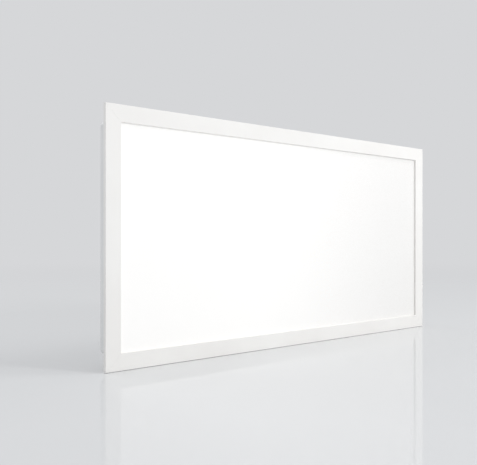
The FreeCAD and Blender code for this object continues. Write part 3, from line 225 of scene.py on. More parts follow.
def shade(tree, settings, links):
    shader = addNode(tree, "ShaderNodeBsdfPrincipled", settings, links)
    addNode(tree, "ShaderNodeOutputMaterial", {}, {"Surface": (shader, "BSDF")})


def finish(name, settings, colours, grains, rough=None, stretch=(1, 1, 1)):
    # the plain finishes: colours is (low, high, patch size), grains holds (size, height) pairs from the
    # widest to the finest, and rough is (low, high, patch size)
    material, tree = newMaterial(name)
    place = startPlace(tree, stretch)
    links = {"Base Color": drift(tree, place, *colours)}
    normal = None
    for size, height in grains:
        normal = grain(tree, place, size, height, normal)
    links["Normal"] = normal
    if rough:
        links["Roughness"] = patchyRoughness(tree, place, *rough)
    shade(tree, settings, links)
    return material


def powderCoat():
    # powder coat on extruded aluminium, sprayed and baked: satin white, with a faint orange peel.
    # The real peel is about 1 mm across; it is drawn at 2 mm so that it shows.
    return finish(
        "powderCoatOnAluminium", {"IOR": 1.5}, ("f4f2ef", "f8f7f4", 120), [(2.0, 0.012), (0.7, 0.004)],
        (0.38, 0.48, 14),
    )


def coilCoat():
    # white polyester coil coat, rolled on before the sheet is folded: smoother and a little glossier than
    # powder, with long shallow waves from the rolling
    return finish(
        "coilCoatedSteel", {"IOR": 1.5}, ("eceded", "f1f2f2", 90), [(38.0, 0.05), (1.3, 0.005)],
        (0.27, 0.38, 22),
    )


opal = {
    # painted shade: the grain's hollows take the shadow colour and its tops the light colour
    "shadow": "f0eeeb",
    "light": "f8f7f5",
    "glow": 0.15,  # painted light: emission over the left and the middle, which makes them lighter than the right end
    "paintedGlowAtRight": 0.0,  # painted glow at the right end: none, so the right end is left darker
    "paintedGlowFallsFrom": 0.4,  # share of the left half where the painted glow starts to fall
    "grain": 1.4,  # mm; the rolled grain is about 0.4 mm, drawn this coarse so that it shows
    "grainHeight": 0.03,
}


def opalAcrylicWithPaintedGlow():
    # extruded opal acrylic with a fine rolled grain: white, and hardly any gloss. Its glow is painted light,
    # over the left and the middle and falling to none at the right end, and its grain carries painted shade,
    # darker where it is low
    low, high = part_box("diffuser")
    material, tree = newMaterial("opalAcrylicWithPaintedGlow")
    place = startPlace(tree)
    split = addNode(tree, "ShaderNodeSeparateXYZ", {}, {"Vector": place})
    # painted light: emission that falls from the left and the middle to none at the right end
    glow = addNode(
        tree, "ShaderNodeMapRange",
        {"interpolation_type": "SMOOTHSTEP", "From Min": opal["paintedGlowFallsFrom"] * low.x, "From Max": high.x,
         "To Min": opal["glow"], "To Max": opal["paintedGlowAtRight"]},
        {"Value": (split, "X")},
    )
    fleck = addNode(
        tree, "ShaderNodeTexNoise", {"Scale": 1 / (opal["grain"] * mm), "Detail": 3.0}, {"Vector": place}
    )
    # painted shade: the bump below rises with the same noise, so the grain is darker where it is low
    colour = addNode(
        tree, "ShaderNodeValToRGB", {"stops": [(0.3, opal["shadow"]), (0.6, opal["light"])]},
        {"Fac": (fleck, "Fac")},
    )
    bump = addNode(
        tree, "ShaderNodeBump", {"Distance": opal["grainHeight"] * mm}, {"Height": (fleck, "Fac")}
    )
    shade(
        tree, {"Roughness": 0.5, "IOR": 1.49, "Emission Color": linear("ffffff")},
        {"Base Color": (colour, "Color"), "Emission Strength": (glow, "Result"), "Normal": (bump, "Normal")},
    )
    return material


def zincPlate():
    # steel, zinc plated and passivated: bright, slightly blue, with cloudy patches
    return finish(
        "zincPlatedSteel", {"Metallic": 1.0}, ("b9bfc6", "d2d6da", 2.6), [(0.5, 0.004)], (0.2, 0.38, 1.8)
    )


def millAluminium():
    # aluminium as it left the die or press: soft grey sheen with fine lines along its length
    return finish(
        "millAluminium", {"Metallic": 1.0}, ("c3c5c7", "d8d9da", 6), [(0.6, 0.004)], (0.28, 0.42, 1.2),
        (0.05, 1, 1),
    )


def tinPlate():
    # copper, stamped and tinned: warm white metal, slightly dull
    return finish(
        "tinnedCopper", {"Metallic": 1.0}, ("c9c6bf", "dcdad4", 1.5), [(0.4, 0.004)], (0.24, 0.4, 0.9)
    )


def moulded(name, low, high, roughness, textureSize, textureHeight, **more):
    # injection moulded plastic or rubber: an even colour, and the spark-eroded texture of the mould
    return finish(name, {"Roughness": roughness, **more}, (low, high, 5), [(textureSize, textureHeight)])


def clearAcrylic():
    # clear acrylic, injection moulded and polished: sharp gloss, bends what is behind it
    return finish(
        "clearAcrylicLens", {"Roughness": 0.03, "IOR": 1.49, "Transmission Weight": 1.0},
        ("f4f8fa", "ffffff", 10), [(4.0, 0.004)],
    )


foam = {"cell": 0.5, "depth": 0.12, "dark": "4b4d50", "light": "5a5c5f"}  # mm


def cellFoam():
    # closed-cell polyethylene foam, die cut: matt grey, with the cells open on its cut faces
    material, tree = newMaterial("closedCellFoam")
    place = startPlace(tree)
    pore = addNode(tree, "ShaderNodeTexVoronoi", {"Scale": 1 / (foam["cell"] * mm)}, {"Vector": place})
    bump = addNode(tree, "ShaderNodeBump", {"Distance": foam["depth"] * mm}, {"Height": (pore, "Distance")})
    shade(
        tree, {"Roughness": 0.9},
        {"Base Color": drift(tree, place, foam["dark"], foam["light"], 1.0), "Normal": (bump, "Normal")},
    )
    return material


def reflectorSheet():
    # microcellular polyester reflector sheet, vacuum formed: dead white, with a faint pearl
    return finish(
        "reflectorSheet", {"Roughness": 0.6, "Sheen Weight": 0.1, "Sheen Roughness": 0.4},
        ("f6f6f4", "fbfbfa", 30), [(0.8, 0.006)],
    )


def leadPvc(name, low, high):
    # extruded PVC insulation: satin, with faint lines drawn along it by the die
    return finish(
        name, {"Roughness": 0.42, "IOR": 1.53}, (low, high, 3), [(0.7, 0.01)], None, (0.2, 1, 1)
    )


earthStripe = {  # metres
    "flatUntil": -0.057,  # X where the lead starts to drop towards its lug
    "lugX": -0.050,
    "entryDepth": 0.049,  # Y of the lead's middle at its entry
    "lugDepth": 0.0455,
    "edge": 0.00025,  # how far outside the lead's middle the yellow starts
    "blur": 0.00005,
    "green": "2f8a3a",
    "yellow": "e9cf2b",
}


def earthPvc():
    # green PVC with a yellow stripe extruded along its outer side: yellow where the surface is further out
    # than the middle of the lead, which drops smoothly from its entry to its lug
    material, tree = newMaterial("greenYellowPvc")
    place = startPlace(tree)
    split = addNode(tree, "ShaderNodeSeparateXYZ", {}, {"Vector": place})
    middle = addNode(
        tree, "ShaderNodeMapRange",
        {"interpolation_type": "SMOOTHSTEP", "From Min": earthStripe["flatUntil"],
         "From Max": earthStripe["lugX"], "To Min": earthStripe["entryDepth"],
         "To Max": earthStripe["lugDepth"]},
        {"Value": (split, "X")},
    )
    above = addNode(
        tree, "ShaderNodeMath", {"operation": "SUBTRACT"}, {0: (split, "Y"), 1: (middle, "Result")}
    )
    edge, blur = earthStripe["edge"], earthStripe["blur"]
    side = addNode(
        tree, "ShaderNodeMapRange", {"From Min": edge - blur, "From Max": edge + blur},
        {"Value": (above, "Value")},
    )
    colour = addNode(
        tree, "ShaderNodeValToRGB",
        {"stops": [(0.45, earthStripe["green"]), (0.55, earthStripe["yellow"])]}, {"Fac": (side, "Result")},
    )
    lines = startPlace(tree, (0.2, 1, 1))
    shade(
        tree, {"Roughness": 0.42, "IOR": 1.53},
        {"Base Color": (colour, "Color"), "Normal": grain(tree, lines, 0.7, 0.01)},
    )
    return material


tracks = {
    "pitch": 2.54,  # mm; tracks keep to this grid
    "run": 9.0,  # pitches from one crossing track to the next
    "width": 0.13,  # of a pitch
    "patch": 17.0,  # mm; tracks run one way inside a patch, and the other way in the next
    "pour": 0.6,  # noise above this is an area of solid copper
    "height": 0.035,  # copper foil under the mask
}


def maskedBoard(name, bare, overCopper, gloss, stretch):
    # fibreglass or aluminium board under solder mask: glossy, lighter and raised where copper runs under it.
    # Tracks are the joints of two brick patterns a quarter turn apart, and noise chooses between them.
    material, tree = newMaterial(name)
    place = addNode(tree, "ShaderNodeTexCoord")
    split = addNode(tree, "ShaderNodeSeparateXYZ", {}, {"Vector": (place, "Object")})
    flat = addNode(tree, "ShaderNodeCombineXYZ", {}, {"X": (split, "X"), "Y": (split, "Z")})
    lines = []
    for turn in (0, math.pi / 2):
        turned = addNode(
            tree, "ShaderNodeMapping", {"Scale": stretch, "Rotation": (0, 0, turn)},
            {"Vector": (flat, "Vector")},
        )
        lines.append(addNode(
            tree, "ShaderNodeTexBrick",
            {"Scale": 1 / (tracks["pitch"] * mm), "Mortar Size": tracks["width"] / 2, "Mortar Smooth": 0.2,
             "Brick Width": tracks["run"], "Row Height": 1.0, "offset": 0.37, "offset_frequency": 3,
             "squash": 0.55, "squash_frequency": 2},
            {"Vector": (turned, "Vector")},
        ))
    patch = addNode(
        tree, "ShaderNodeTexNoise", {"Scale": 1 / (tracks["patch"] * mm), "Detail": 0.0},
        {"Vector": (flat, "Vector")},
    )
    way = addNode(tree, "ShaderNodeMath", {"operation": "GREATER_THAN", 1: 0.5}, {0: (patch, "Fac")})
    routed = addNode(
        tree, "ShaderNodeMix", {"data_type": "FLOAT"},
        {0: (way, "Value"), 2: (lines[0], "Fac"), 3: (lines[1], "Fac")},
    )
    solid = addNode(
        tree, "ShaderNodeMath", {"operation": "GREATER_THAN", 1: tracks["pour"]}, {0: (patch, "Fac")}
    )
    copper = addNode(
        tree, "ShaderNodeMath", {"operation": "MAXIMUM"}, {0: (routed, "Result"), 1: (solid, "Value")}
    )
    colour = addNode(
        tree, "ShaderNodeValToRGB", {"stops": [(0.2, bare), (0.8, overCopper)]}, {"Fac": (copper, "Value")}
    )
    bump = addNode(
        tree, "ShaderNodeBump", {"Distance": tracks["height"] * mm}, {"Height": (copper, "Value")}
    )
    shade(
        tree, {"Roughness": gloss, "Coat Weight": 0.3, "Coat Roughness": 0.12},
        {"Base Color": (colour, "Color"), "Normal": (bump, "Normal")},
    )
    return material


ledPattern = {  # metres
    "pitch": 0.066,  # LED to LED along a board
    "rowPitch": 0.084,  # board to board
    "windowRadius": 0.00115,  # phosphor window in its white package
    "phosphor": "e9c64a",
    "package": "f1f0ea",
}


def phosphorPackage():
    # white moulded package with a round window of yellow silicone phosphor, repeated from LED to LED
    material, tree = newMaterial("phosphorInWhitePackage")
    place = startPlace(tree)
    split = addNode(tree, "ShaderNodeSeparateXYZ", {}, {"Vector": place})
    halfPitch, halfRow = ledPattern["pitch"] / 2, ledPattern["rowPitch"] / 2
    acrossX = addNode(
        tree, "ShaderNodeMath", {"operation": "WRAP", 1: ledPattern["pitch"], 2: 0.0}, {0: (split, "X")}
    )
    acrossZ = addNode(
        tree, "ShaderNodeMath", {"operation": "WRAP", 1: halfRow, 2: -halfRow}, {0: (split, "Z")}
    )
    fromMiddle = addNode(
        tree, "ShaderNodeMath", {"operation": "SUBTRACT", 1: halfPitch}, {0: (acrossX, "Value")}
    )
    spot = addNode(tree, "ShaderNodeCombineXYZ", {}, {"X": (fromMiddle, "Value"), "Y": (acrossZ, "Value")})
    far = addNode(tree, "ShaderNodeVectorMath", {"operation": "LENGTH"}, {0: (spot, "Vector")})
    outside = addNode(
        tree, "ShaderNodeMath", {"operation": "GREATER_THAN", 1: ledPattern["windowRadius"]},
        {0: (far, "Value")},
    )
    colour = addNode(
        tree, "ShaderNodeValToRGB",
        {"stops": [(0.4, ledPattern["phosphor"]), (0.6, ledPattern["package"])]},
        {"Fac": (outside, "Value")},
    )
    shade(
        tree, {"Roughness": 0.35},
        {"Base Color": (colour, "Color"), "Normal": grain(tree, place, 0.3, 0.01)},
    )
    return material


def sinteredFerrite():
    # pressed and sintered ferrite: near black, dull, with a fine sparkle
    return finish("sinteredFerrite", {"Roughness": 0.62}, ("26272a", "34363a", 0.6), [(0.35, 0.02)])


winding = {  # mm
    "lapWidth": 4.2,  # tape showing at each lap
    "lapStep": 0.12,
    "lapEdge": 0.06,  # height of the tape's cut edge
    "bulge": 0.35,  # how far the sides belly out between the bobbin's flanges
    "squareness": 4.5,  # 2 is an ellipse, and more is nearer to a box
    "waveBand": 0.314,  # a wave texture's bands are this far apart at scale 1
    "rows": 60,
    "steps": 56,
}


def windingTape():
    # polyester film tape, wound in laps: glossy yellow, each lap's edge a fine step along the coil
    material, tree = newMaterial("polyesterTape")
    place = startPlace(tree)
    edge = addNode(
        tree, "ShaderNodeTexWave",
        {"wave_type": "BANDS", "bands_direction": "Z", "wave_profile": "SAW",
         "Scale": winding["waveBand"] / (winding["lapWidth"] * mm), "Distortion": 0.4, "Detail": 1.0},
        {"Vector": place},
    )
    bump = addNode(tree, "ShaderNodeBump", {"Distance": winding["lapEdge"] * mm}, {"Height": (edge, "Fac")})
    shade(
        tree, {"Roughness": 0.22, "Coat Weight": 0.4, "Coat Roughness": 0.1},
        {"Base Color": drift(tree, place, "e3b92a", "f0cb45", 4), "Normal": (bump, "Normal")},
    )
    return material


def copperEnamel():
    # copper wire with a clear polyurethane enamel: warm orange-brown metal under a gloss
    return finish(
        "enamelledCopper", {"Metallic": 1.0, "Roughness": 0.25, "Coat Weight": 0.5, "Coat Roughness": 0.08},
        ("b4622f", "c9773d", 0.8), [(0.3, 0.004)],
    )


sleevePrint = {
    "film": "1c2c57",
    "stripe": "c7ccd6",
    "stripeHalf": 0.09,  # half the stripe's width, as a share of a turn
    "dashHalf": 0.035,  # the same for a dash
    "dashPitch": 3.2,  # mm
    "dashLength": 1.0,
}


def sleeveFilm():
    # heat-shrunk PVC film on an aluminium can: deep blue gloss, with a pale stripe down one side and dark
    # dashes in it. The piece's own map gives the share of a turn round the can and the metres along it.
    material, tree = newMaterial("shrunkPvcSleeve")
    around = addNode(tree, "ShaderNodeUVMap", {"uv_map": "wrap"})
    split = addNode(tree, "ShaderNodeSeparateXYZ", {}, {"Vector": (around, "UV")})
    stripe, narrow = [
        addNode(tree, "ShaderNodeMath", {"operation": "COMPARE", 1: 0.5, 2: width}, {0: (split, "X")})
        for width in (sleevePrint["stripeHalf"], sleevePrint["dashHalf"])
    ]
    fold = sleevePrint["dashPitch"] / 2
    gap = fold - sleevePrint["dashLength"] / 2
    along = addNode(tree, "ShaderNodeMath", {"operation": "PINGPONG", 1: fold * mm}, {0: (split, "Y")})
    dash = addNode(tree, "ShaderNodeMath", {"operation": "GREATER_THAN", 1: gap * mm}, {0: (along, "Value")})
    mark = addNode(
        tree, "ShaderNodeMath", {"operation": "MULTIPLY"}, {0: (dash, "Value"), 1: (narrow, "Value")}
    )
    shown = addNode(
        tree, "ShaderNodeMath", {"operation": "SUBTRACT", "use_clamp": True},
        {0: (stripe, "Value"), 1: (mark, "Value")},
    )
    colour = addNode(
        tree, "ShaderNodeValToRGB",
        {"stops": [(0.45, sleevePrint["film"]), (0.55, sleevePrint["stripe"])]}, {"Fac": (shown, "Value")},
    )
    shade(
        tree, {"Roughness": 0.25, "Coat Weight": 0.3},
        {"Base Color": (colour, "Color"), "Normal": grain(tree, startPlace(tree), 2.5, 0.01)},
    )
    return material


def gridFaces(rows, columns, closedRows=False):
    # four-sided faces between neighbours on a grid of points, numbered row by row; each row is a ring
    a = np.arange(rows if closedRows else rows - 1)
    a, b = np.meshgrid(a, np.arange(columns), indexing="ij")
    nextA, nextB = (a + 1) % rows, (b + 1) % columns
    corners = [a * columns + b, nextA * columns + b, nextA * columns + nextB, a * columns + nextB]
    return np.stack([c.ravel() for c in corners], 1).tolist()


def lathe(profile, steps=48):
    # a (radius, rise) profile turned once about its rise; points are (across, rise, across)
    profile = np.array(profile, float)
    angle = np.linspace(0, 2 * np.pi, steps, endpoint=False)
    radius, rise = profile[:, :1], np.repeat(profile[:, 1:], steps, 1)
    points = np.stack([radius * np.cos(angle), rise, radius * np.sin(angle)], 2)
    return points.reshape(-1, 3), gridFaces(len(profile), steps)


def pulledBall(half, radius, rings=6, steps=8):
    # a ball cut into eight and pulled apart to the corners of a box, so that every edge is rounded
    half, radius = np.array(half, float), min(radius, min(half))
    v = np.linspace(-np.pi / 2, np.pi / 2, rings)[:, None]
    u = (np.arange(steps) + 0.5) * 2 * np.pi / steps
    ball = np.stack([np.cos(v) * np.cos(u), np.sin(v) + 0 * u, np.cos(v) * np.sin(u)], 2)
    points = ball * radius + np.sign(np.round(ball, 6)) * (half - radius)
    points[0, :, 1], points[-1, :, 1] = -half[1], half[1]
    last = (rings - 1) * steps
    ends = [list(range(steps)), list(range(last + steps - 1, last - 1, -1))]
    return points.reshape(-1, 3), gridFaces(rings, steps) + ends


def carried(path, radius, steps=10):
    # a circle carried along a path, square to it at every point, and drawn to a point at both ends
    path = np.array(path, float)
    along = np.gradient(path, axis=0)
    along /= np.linalg.norm(along, axis=1, keepdims=True)
    offPath = [0.31, 0.87, 0.38]  # no path here runs this way
    side = np.cross(along, offPath)
    side /= np.linalg.norm(side, axis=1, keepdims=True)
    other = np.cross(along, side)
    size = np.full((len(path), 1, 1), radius)
    size[0], size[-1] = 0, 0
    angle = np.linspace(0, 2 * np.pi, steps, endpoint=False)[None, :, None]
    points = path[:, None] + size * (np.cos(angle) * side[:, None] + np.sin(angle) * other[:, None])
    return points.reshape(-1, 3), gridFaces(len(path), steps)


def addPiece(name, shapes, materials, replaced=(), smooth=35.0):
    # joins (shape, place, material number, turn) entries, in mm, into one piece that rides on the panel
    same, tiny = 2e-6, 1e-7  # metres; points this near become one, and edges this short are dissolved
    points, faces, numbers, start = [], [], [], 0
    for (corners, sides), place, number, *turn in shapes:
        corners = corners @ np.array(turn[0], float).T if turn else corners
        points.append((corners + place) * mm)
        faces += [[i + start for i in side] for side in sides]
        numbers += [number] * len(sides)
        start += len(corners)
    mesh = bpy.data.meshes.new(name)
    mesh.from_pydata(np.concatenate(points).tolist(), [], faces)
    mesh.polygons.foreach_set("material_index", numbers)
    whole = bmesh.new()
    whole.from_mesh(mesh)
    bmesh.ops.remove_doubles(whole, verts=whole.verts, dist=same)
    bmesh.ops.dissolve_degenerate(whole, edges=whole.edges, dist=tiny)
    bmesh.ops.recalc_face_normals(whole, faces=whole.faces)
    whole.to_mesh(mesh)
    whole.free()
    mesh.polygons.foreach_set("use_smooth", [True] * len(mesh.polygons))
    mesh.set_sharp_from_angle(angle=math.radians(smooth))
    piece = bpy.data.objects.new(name, mesh)
    bpy.context.scene.collection.objects.link(piece)
    for material in materials:
        mesh.materials.append(material)
    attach(piece, "panel")
    if replaced:
        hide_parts(*replaced)
    print(name, len(mesh.polygons), "faces")
    return piece


def boardTop():
    # the circuit board's outer face, in mm
    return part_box("driver_board")[1].y / mm


capacitors = {  # mm
    "cans": [  # a lying can points along Z
        {"middle": (-18.0, 53.85, 8.0), "radius": 6.15, "length": 19.8, "lying": True},
        {"middle": (58.0, 54.1, 10.0), "radius": 3.95, "length": 12.9, "lying": False},
        {"middle": (68.0, 54.1, 10.0), "radius": 3.95, "length": 12.9, "lying": False},
    ],
    "curlRadius": 0.5,
    "rimRadius": 0.82,  # where the curl ends; this and the lid's radius are shares of the can's
    "lidRadius": 0.8,
    "lidDrop": 0.25,
    "footRise": 0.4,
    "groovePlace": 0.68,  # share of the half length
    "grooveDepth": 0.09,  # share of the radius
    "grooveWidth": 0.5,
    "ventReach": 0.68,  # share of the radius
    "ventDepth": 0.16,
    "ventWidth": 0.28,
    "mapPastEnd": 0.5,  # a corner this far past a can's end or side still takes that can's map
    "mapPastSide": 0.3,
}


def sleeveAndLid(radius, half):
    # Sleeve: a straight side that curls over both rims, pinched by a rolled groove near the open end.
    # Lid: a disc inside the sleeve's upper rim whose rise falls along two crossing lines, the vent.
    curlRadius, lidDrop = capacitors["curlRadius"], capacitors["lidDrop"]
    rimRadius, lidRadius = radius * capacitors["rimRadius"], radius * capacitors["lidRadius"]
    rise = np.linspace(curlRadius - half, half - curlRadius, 40)
    fromGroove = (rise + capacitors["groovePlace"] * half) / capacitors["grooveWidth"]
    pinch = capacitors["grooveDepth"] * radius * np.exp(-(fromGroove**2))
    side = np.stack([radius - pinch, rise], 1)
    curl = np.linspace(0, np.pi / 2, 6)[1:]
    out = radius - curlRadius + curlRadius * np.cos(curl)
    up = half - curlRadius + curlRadius * np.sin(curl)
    upper, lower = np.stack([out, up], 1), np.stack([out, -up], 1)[::-1]
    lip = [(rimRadius, half), (lidRadius, half - lidDrop)]
    base = capacitors["footRise"] - half
    foot = [(0, base), (lidRadius, base), (rimRadius, -half)]
    sleeve = lathe(np.concatenate([foot, lower, side, upper, lip]))
    rings, steps = 18, 48
    across = np.linspace(0, lidRadius, rings)[:, None]
    angle = np.linspace(0, 2 * np.pi, steps, endpoint=False)
    x, z = across * np.cos(angle), across * np.sin(angle)
    width = capacitors["ventWidth"]
    vent = np.clip(np.exp(-((x / width) ** 2)) + np.exp(-((z / width) ** 2)), 0, 1)
    dip = capacitors["ventDepth"] * vent * (across < radius * capacitors["ventReach"])
    lid = np.stack([x, half - lidDrop - dip, z], 2).reshape(-1, 3)
    return sleeve, (lid, gridFaces(rings, steps))


def makeCapacitors(aluminium):
    upright, lying = np.eye(3), [[1, 0, 0], [0, 0, 1], [0, 1, 0]]
    shapes = []
    for can in capacitors["cans"]:
        turn = lying if can["lying"] else upright
        sleeve, lid = sleeveAndLid(can["radius"], can["length"] / 2)
        shapes += [(sleeve, can["middle"], 0, turn), (lid, can["middle"], 1, turn)]
    piece = addPiece(
        "electrolyticCapacitors", shapes, [sleeveFilm(), aluminium], ["capacitors"]
    )

    # the map: each corner's share of a turn about its own can, and its distance along it in metres
    mesh = piece.data
    corners = np.empty(len(mesh.loops), int)
    mesh.loops.foreach_get("vertex_index", corners)
    points = np.empty(len(mesh.vertices) * 3)
    mesh.vertices.foreach_get("co", points)
    points = points.reshape(-1, 3)[corners]
    wrap = np.zeros((len(corners), 2))
    for can in capacitors["cans"]:
        middle = np.array(can["middle"]) * mm
        reach = (can["length"] / 2 + capacitors["mapPastEnd"]) * mm
        along, across = (2, 1) if can["lying"] else (1, 2)
        offset = points - middle
        reachOut = (can["radius"] + capacitors["mapPastSide"]) * mm
        near = np.hypot(offset[:, 0], offset[:, across]) < reachOut
        near &= np.abs(offset[:, along]) < reach
        turn = np.arctan2(offset[:, across], offset[:, 0]) / (2 * np.pi)
        wrap[near] = np.stack([turn % 1, offset[:, along] + reach], 1)[near]
    mesh.uv_layers.new(name="wrap").data.foreach_set("uv", wrap.ravel())


def makeWinding():
    # A rounded oblong carried along Z. Its half sizes swell towards the middle as a cosine, and fall by a
    # step at each lap of tape.
    low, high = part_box("transformer_coil")
    middle, half = (low + high) / 2 / mm, (high - low) / 2 / mm
    rows, steps = winding["rows"], winding["steps"]
    along = np.linspace(-1, 1, rows)[:, None]
    angle = np.linspace(0, 2 * np.pi, steps, endpoint=False)[None, :]
    lap = (along * half.z / winding["lapWidth"]) % 1
    shrink = winding["bulge"] * (1 - np.cos(along * np.pi / 2)) + winding["lapStep"] * lap
    power = 2 / winding["squareness"]
    x = np.sign(np.cos(angle)) * np.abs(np.cos(angle)) ** power * (half.x - shrink)
    y = np.sign(np.sin(angle)) * np.abs(np.sin(angle)) ** power * (half.y - shrink)
    side = np.stack([x, y, along * half.z + 0 * angle], 2)
    ends = [np.full((1, steps, 3), (0, 0, end)) for end in (-half.z, half.z)]
    points = np.concatenate([ends[0], side, ends[1]]).reshape(-1, 3)
    shape = (points, gridFaces(rows + 2, steps))
    addPiece(
        "transformerWinding", [(shape, middle, 0)], [windingTape()], ["transformer_coil"],
        smooth=50.0,
    )


choke = {  # mm
    "middle": (-27.0, 50.2, -15.6),
    "ringRadius": 3.5,  # to the middle of the core
    "coreRadius": 1.35,
    "wireRadius": 0.3,
    "turns": 9,  # in each of its two windings
    "span": 125.0,  # degrees of the ring that one winding covers
    "ringSteps": 48,
    "coreSteps": 16,
    "turnSteps": 14,
}


def makeChoke(ferrite):
    # Core: a circle carried round a circle. Windings: a helix that winds round the core as it goes round
    # the ring, with its two ends running down to the board.
    ring, core, wire = choke["ringRadius"], choke["coreRadius"], choke["wireRadius"]
    ringSteps, coreSteps = choke["ringSteps"], choke["coreSteps"]
    u = np.linspace(0, 2 * np.pi, ringSteps, endpoint=False)[:, None]
    v = np.linspace(0, 2 * np.pi, coreSteps, endpoint=False)[None, :]
    out = ring + core * np.cos(v)
    torus = np.stack([out * np.cos(u), core * np.sin(v) + 0 * u, out * np.sin(u)], 2).reshape(-1, 3)
    shapes = [((torus, gridFaces(ringSteps, coreSteps, closedRows=True)), choke["middle"], 0)]
    down = boardTop() - choke["middle"][1]
    for side in (0.0, np.pi):
        s = np.linspace(0, 1, choke["turns"] * choke["turnSteps"])
        about = side + math.radians(choke["span"]) * (s - 0.5)
        turn = 2 * np.pi * choke["turns"] * s - np.pi / 2
        out = ring + (core + wire) * np.cos(turn)
        helix = np.stack([out * np.cos(about), (core + wire) * np.sin(turn), out * np.sin(about)], 1)
        ends = [helix[i] * [1, 0, 1] + [0, down, 0] for i in (0, -1)]
        path = np.concatenate([[ends[0]], helix, [ends[1]]])
        shapes.append((carried(path, wire, steps=8), choke["middle"], 1))
    addPiece("commonModeChoke", shapes, [ferrite, copperEnamel()])


filmCapacitor = {  # mm
    "middle": (-29.2, 52.0, 10.4),
    "half": (2.4, 4.3, 5.6),
    "edge": 0.5,
    "leadRadius": 0.35,
    "leadPlace": 0.66,  # share of the half length from the middle
    "leadRoot": 0.3,  # how far into the box the lead starts
}


def makeFilmCapacitor(tin):
    # a box with every edge rounded, standing on the board, and the two leads under it
    middle, half = np.array(filmCapacitor["middle"]), filmCapacitor["half"]
    shapes = [(pulledBall(half, filmCapacitor["edge"], rings=10, steps=16), middle, 0)]
    for side in (-filmCapacitor["leadPlace"], filmCapacitor["leadPlace"]):
        under = np.array([0, -half[1], side * half[2]])
        root, foot = under + [0, filmCapacitor["leadRoot"], 0], [0, boardTop() - middle[1], under[2]]
        path = np.linspace(root, foot, 4)
        shapes.append((carried(path, filmCapacitor["leadRadius"], steps=8), middle, 1))
    box = moulded("mouldedPolyesterBox", "8f9296", "9a9da1", 0.45, 0.5, 0.02)
    addPiece("filmCapacitor", shapes, [box, tin])


transistor = {  # mm
    "tab": (0.65, 5.6, 4.9),  # half sizes
    "tabEdge": 0.15,
    "tabHeight": 8.2,  # middle of the tab above the board
    "body": (1.75, 3.9, 4.8),
    "bodyEdge": 0.4,
    "bodyHeight": 6.4,
    "bodySunk": 0.1,  # how far past the tab's middle plane the body reaches
    "screwHead": [(0, 1.5), (1.2, 1.45), (2.2, 1.0), (2.6, 0.2), (2.6, 0), (0, 0)],  # radius and rise
    "screwHeight": 12.0,
    "leg": [(0, -3.6, 0), (0, -4.6, 0), (-0.6, -5.4, 0), (-0.9, -6.0, 0), (-0.9, -6.4, 0)],
    "legPitch": 2.54,
    "legRadius": 0.4,
}


def makeTransistor(tin):
    # a moulded body with rounded edges on a metal tab, held flat on the heat sink by a screw, with three
    # legs that step down to the board
    low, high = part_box("heat_sink")
    face, z = low.x / mm, (low.z + high.z) / 2 / mm
    thick, deep = transistor["tab"][0], transistor["body"][0]
    base = np.array([face, boardTop(), z])
    tabAt = base + [-thick, transistor["tabHeight"], 0]
    bodyAt = base + [transistor["bodySunk"] - thick - deep, transistor["bodyHeight"], 0]
    screwAt = base + [-2 * thick, transistor["screwHeight"], 0]
    outward = [[0, -1, 0], [1, 0, 0], [0, 0, 1]]  # turns the screw's rise to point along -X
    shapes = [
        (pulledBall(transistor["tab"], transistor["tabEdge"]), tabAt, 1),
        (pulledBall(transistor["body"], transistor["bodyEdge"], rings=8, steps=12), bodyAt, 0),
        (lathe(transistor["screwHead"], steps=24), screwAt, 1, outward),
    ]
    for side in (-1, 0, 1):
        along = bodyAt + [0, 0, side * transistor["legPitch"]]
        shapes.append((carried(transistor["leg"], transistor["legRadius"], steps=6), along, 1))
    epoxy = moulded("mouldedEpoxy", "1b1c1e", "232427", 0.5, 0.4, 0.015)
    addPiece("powerTransistor", shapes, [epoxy, tin])


chips = {  # mm
    "height": 0.55,
    "longChip": 2.4,  # a chip longer than this is taller
    "tallShare": 1.5,
    "edge": 0.08,
    "endEdge": 0.06,
    "endLength": 0.22,  # share of the chip's length under each metal end
    "wrap": 0.03,  # how far a metal end stands proud on the chip's sides
    "endProud": 0.05,  # and past its end
    "groups": [  # X and Z of the first, step in X and Z, how many, length along X and along Z
        (-6.5, -18.0, 3.3, 0.0, 3, 2.0, 1.24), (3.6, -18.0, 0.0, 0.0, 1, 1.24, 2.0),
        (-7.0, -2.5, 0.0, 3.75, 3, 1.24, 2.0), (4.4, -3.5, 0.0, 4.0, 2, 1.24, 2.0),
        (-4.0, 12.0, 5.2, 0.0, 2, 3.2, 2.5), (-5.5, 18.5, 4.0, 0.0, 3, 2.0, 1.24),
        (50.5, -10.0, 0.0, 4.5, 3, 1.24, 2.0), (50.8, 9.0, 0.0, 0.0, 1, 2.5, 4.0),
        (62.0, -6.0, 6.0, 0.0, 2, 3.2, 2.5), (62.0, -12.0, 4.0, 0.0, 3, 2.0, 1.24),
        (76.0, -4.0, 0.0, 5.0, 2, 1.24, 2.0),
    ],
}


def makeChips(tin):
    # each chip is a rounded box with a slightly larger metal box round each of its ends
    shapes = []
    for x, z, stepX, stepZ, count, lengthX, lengthZ in chips["groups"]:
        high = chips["height"] * (chips["tallShare"] if max(lengthX, lengthZ) > chips["longChip"] else 1)
        half = np.array([lengthX, high, lengthZ]) / 2
        lengthwise = np.array([lengthX > lengthZ, 0, lengthX <= lengthZ], float)
        end = half * (1 - (1 - chips["endLength"]) * lengthwise) + chips["wrap"]
        out = lengthwise * (half - end + chips["endProud"])
        body = pulledBall(half, chips["edge"], rings=4)
        cap = pulledBall(end, chips["endEdge"], rings=4)
        for i in range(count):
            middle = np.array([x + i * stepX, boardTop() + high / 2 + chips["wrap"], z + i * stepZ])
            shapes += [(body, middle, 0), (cap, middle + out, 1), (cap, middle - out, 1)]
    ceramic = moulded("pressedCeramic", "2a2b2e", "6b5a48", 0.5, 0.3, 0.01)
    addPiece("chipComponents", shapes, [ceramic, tin])


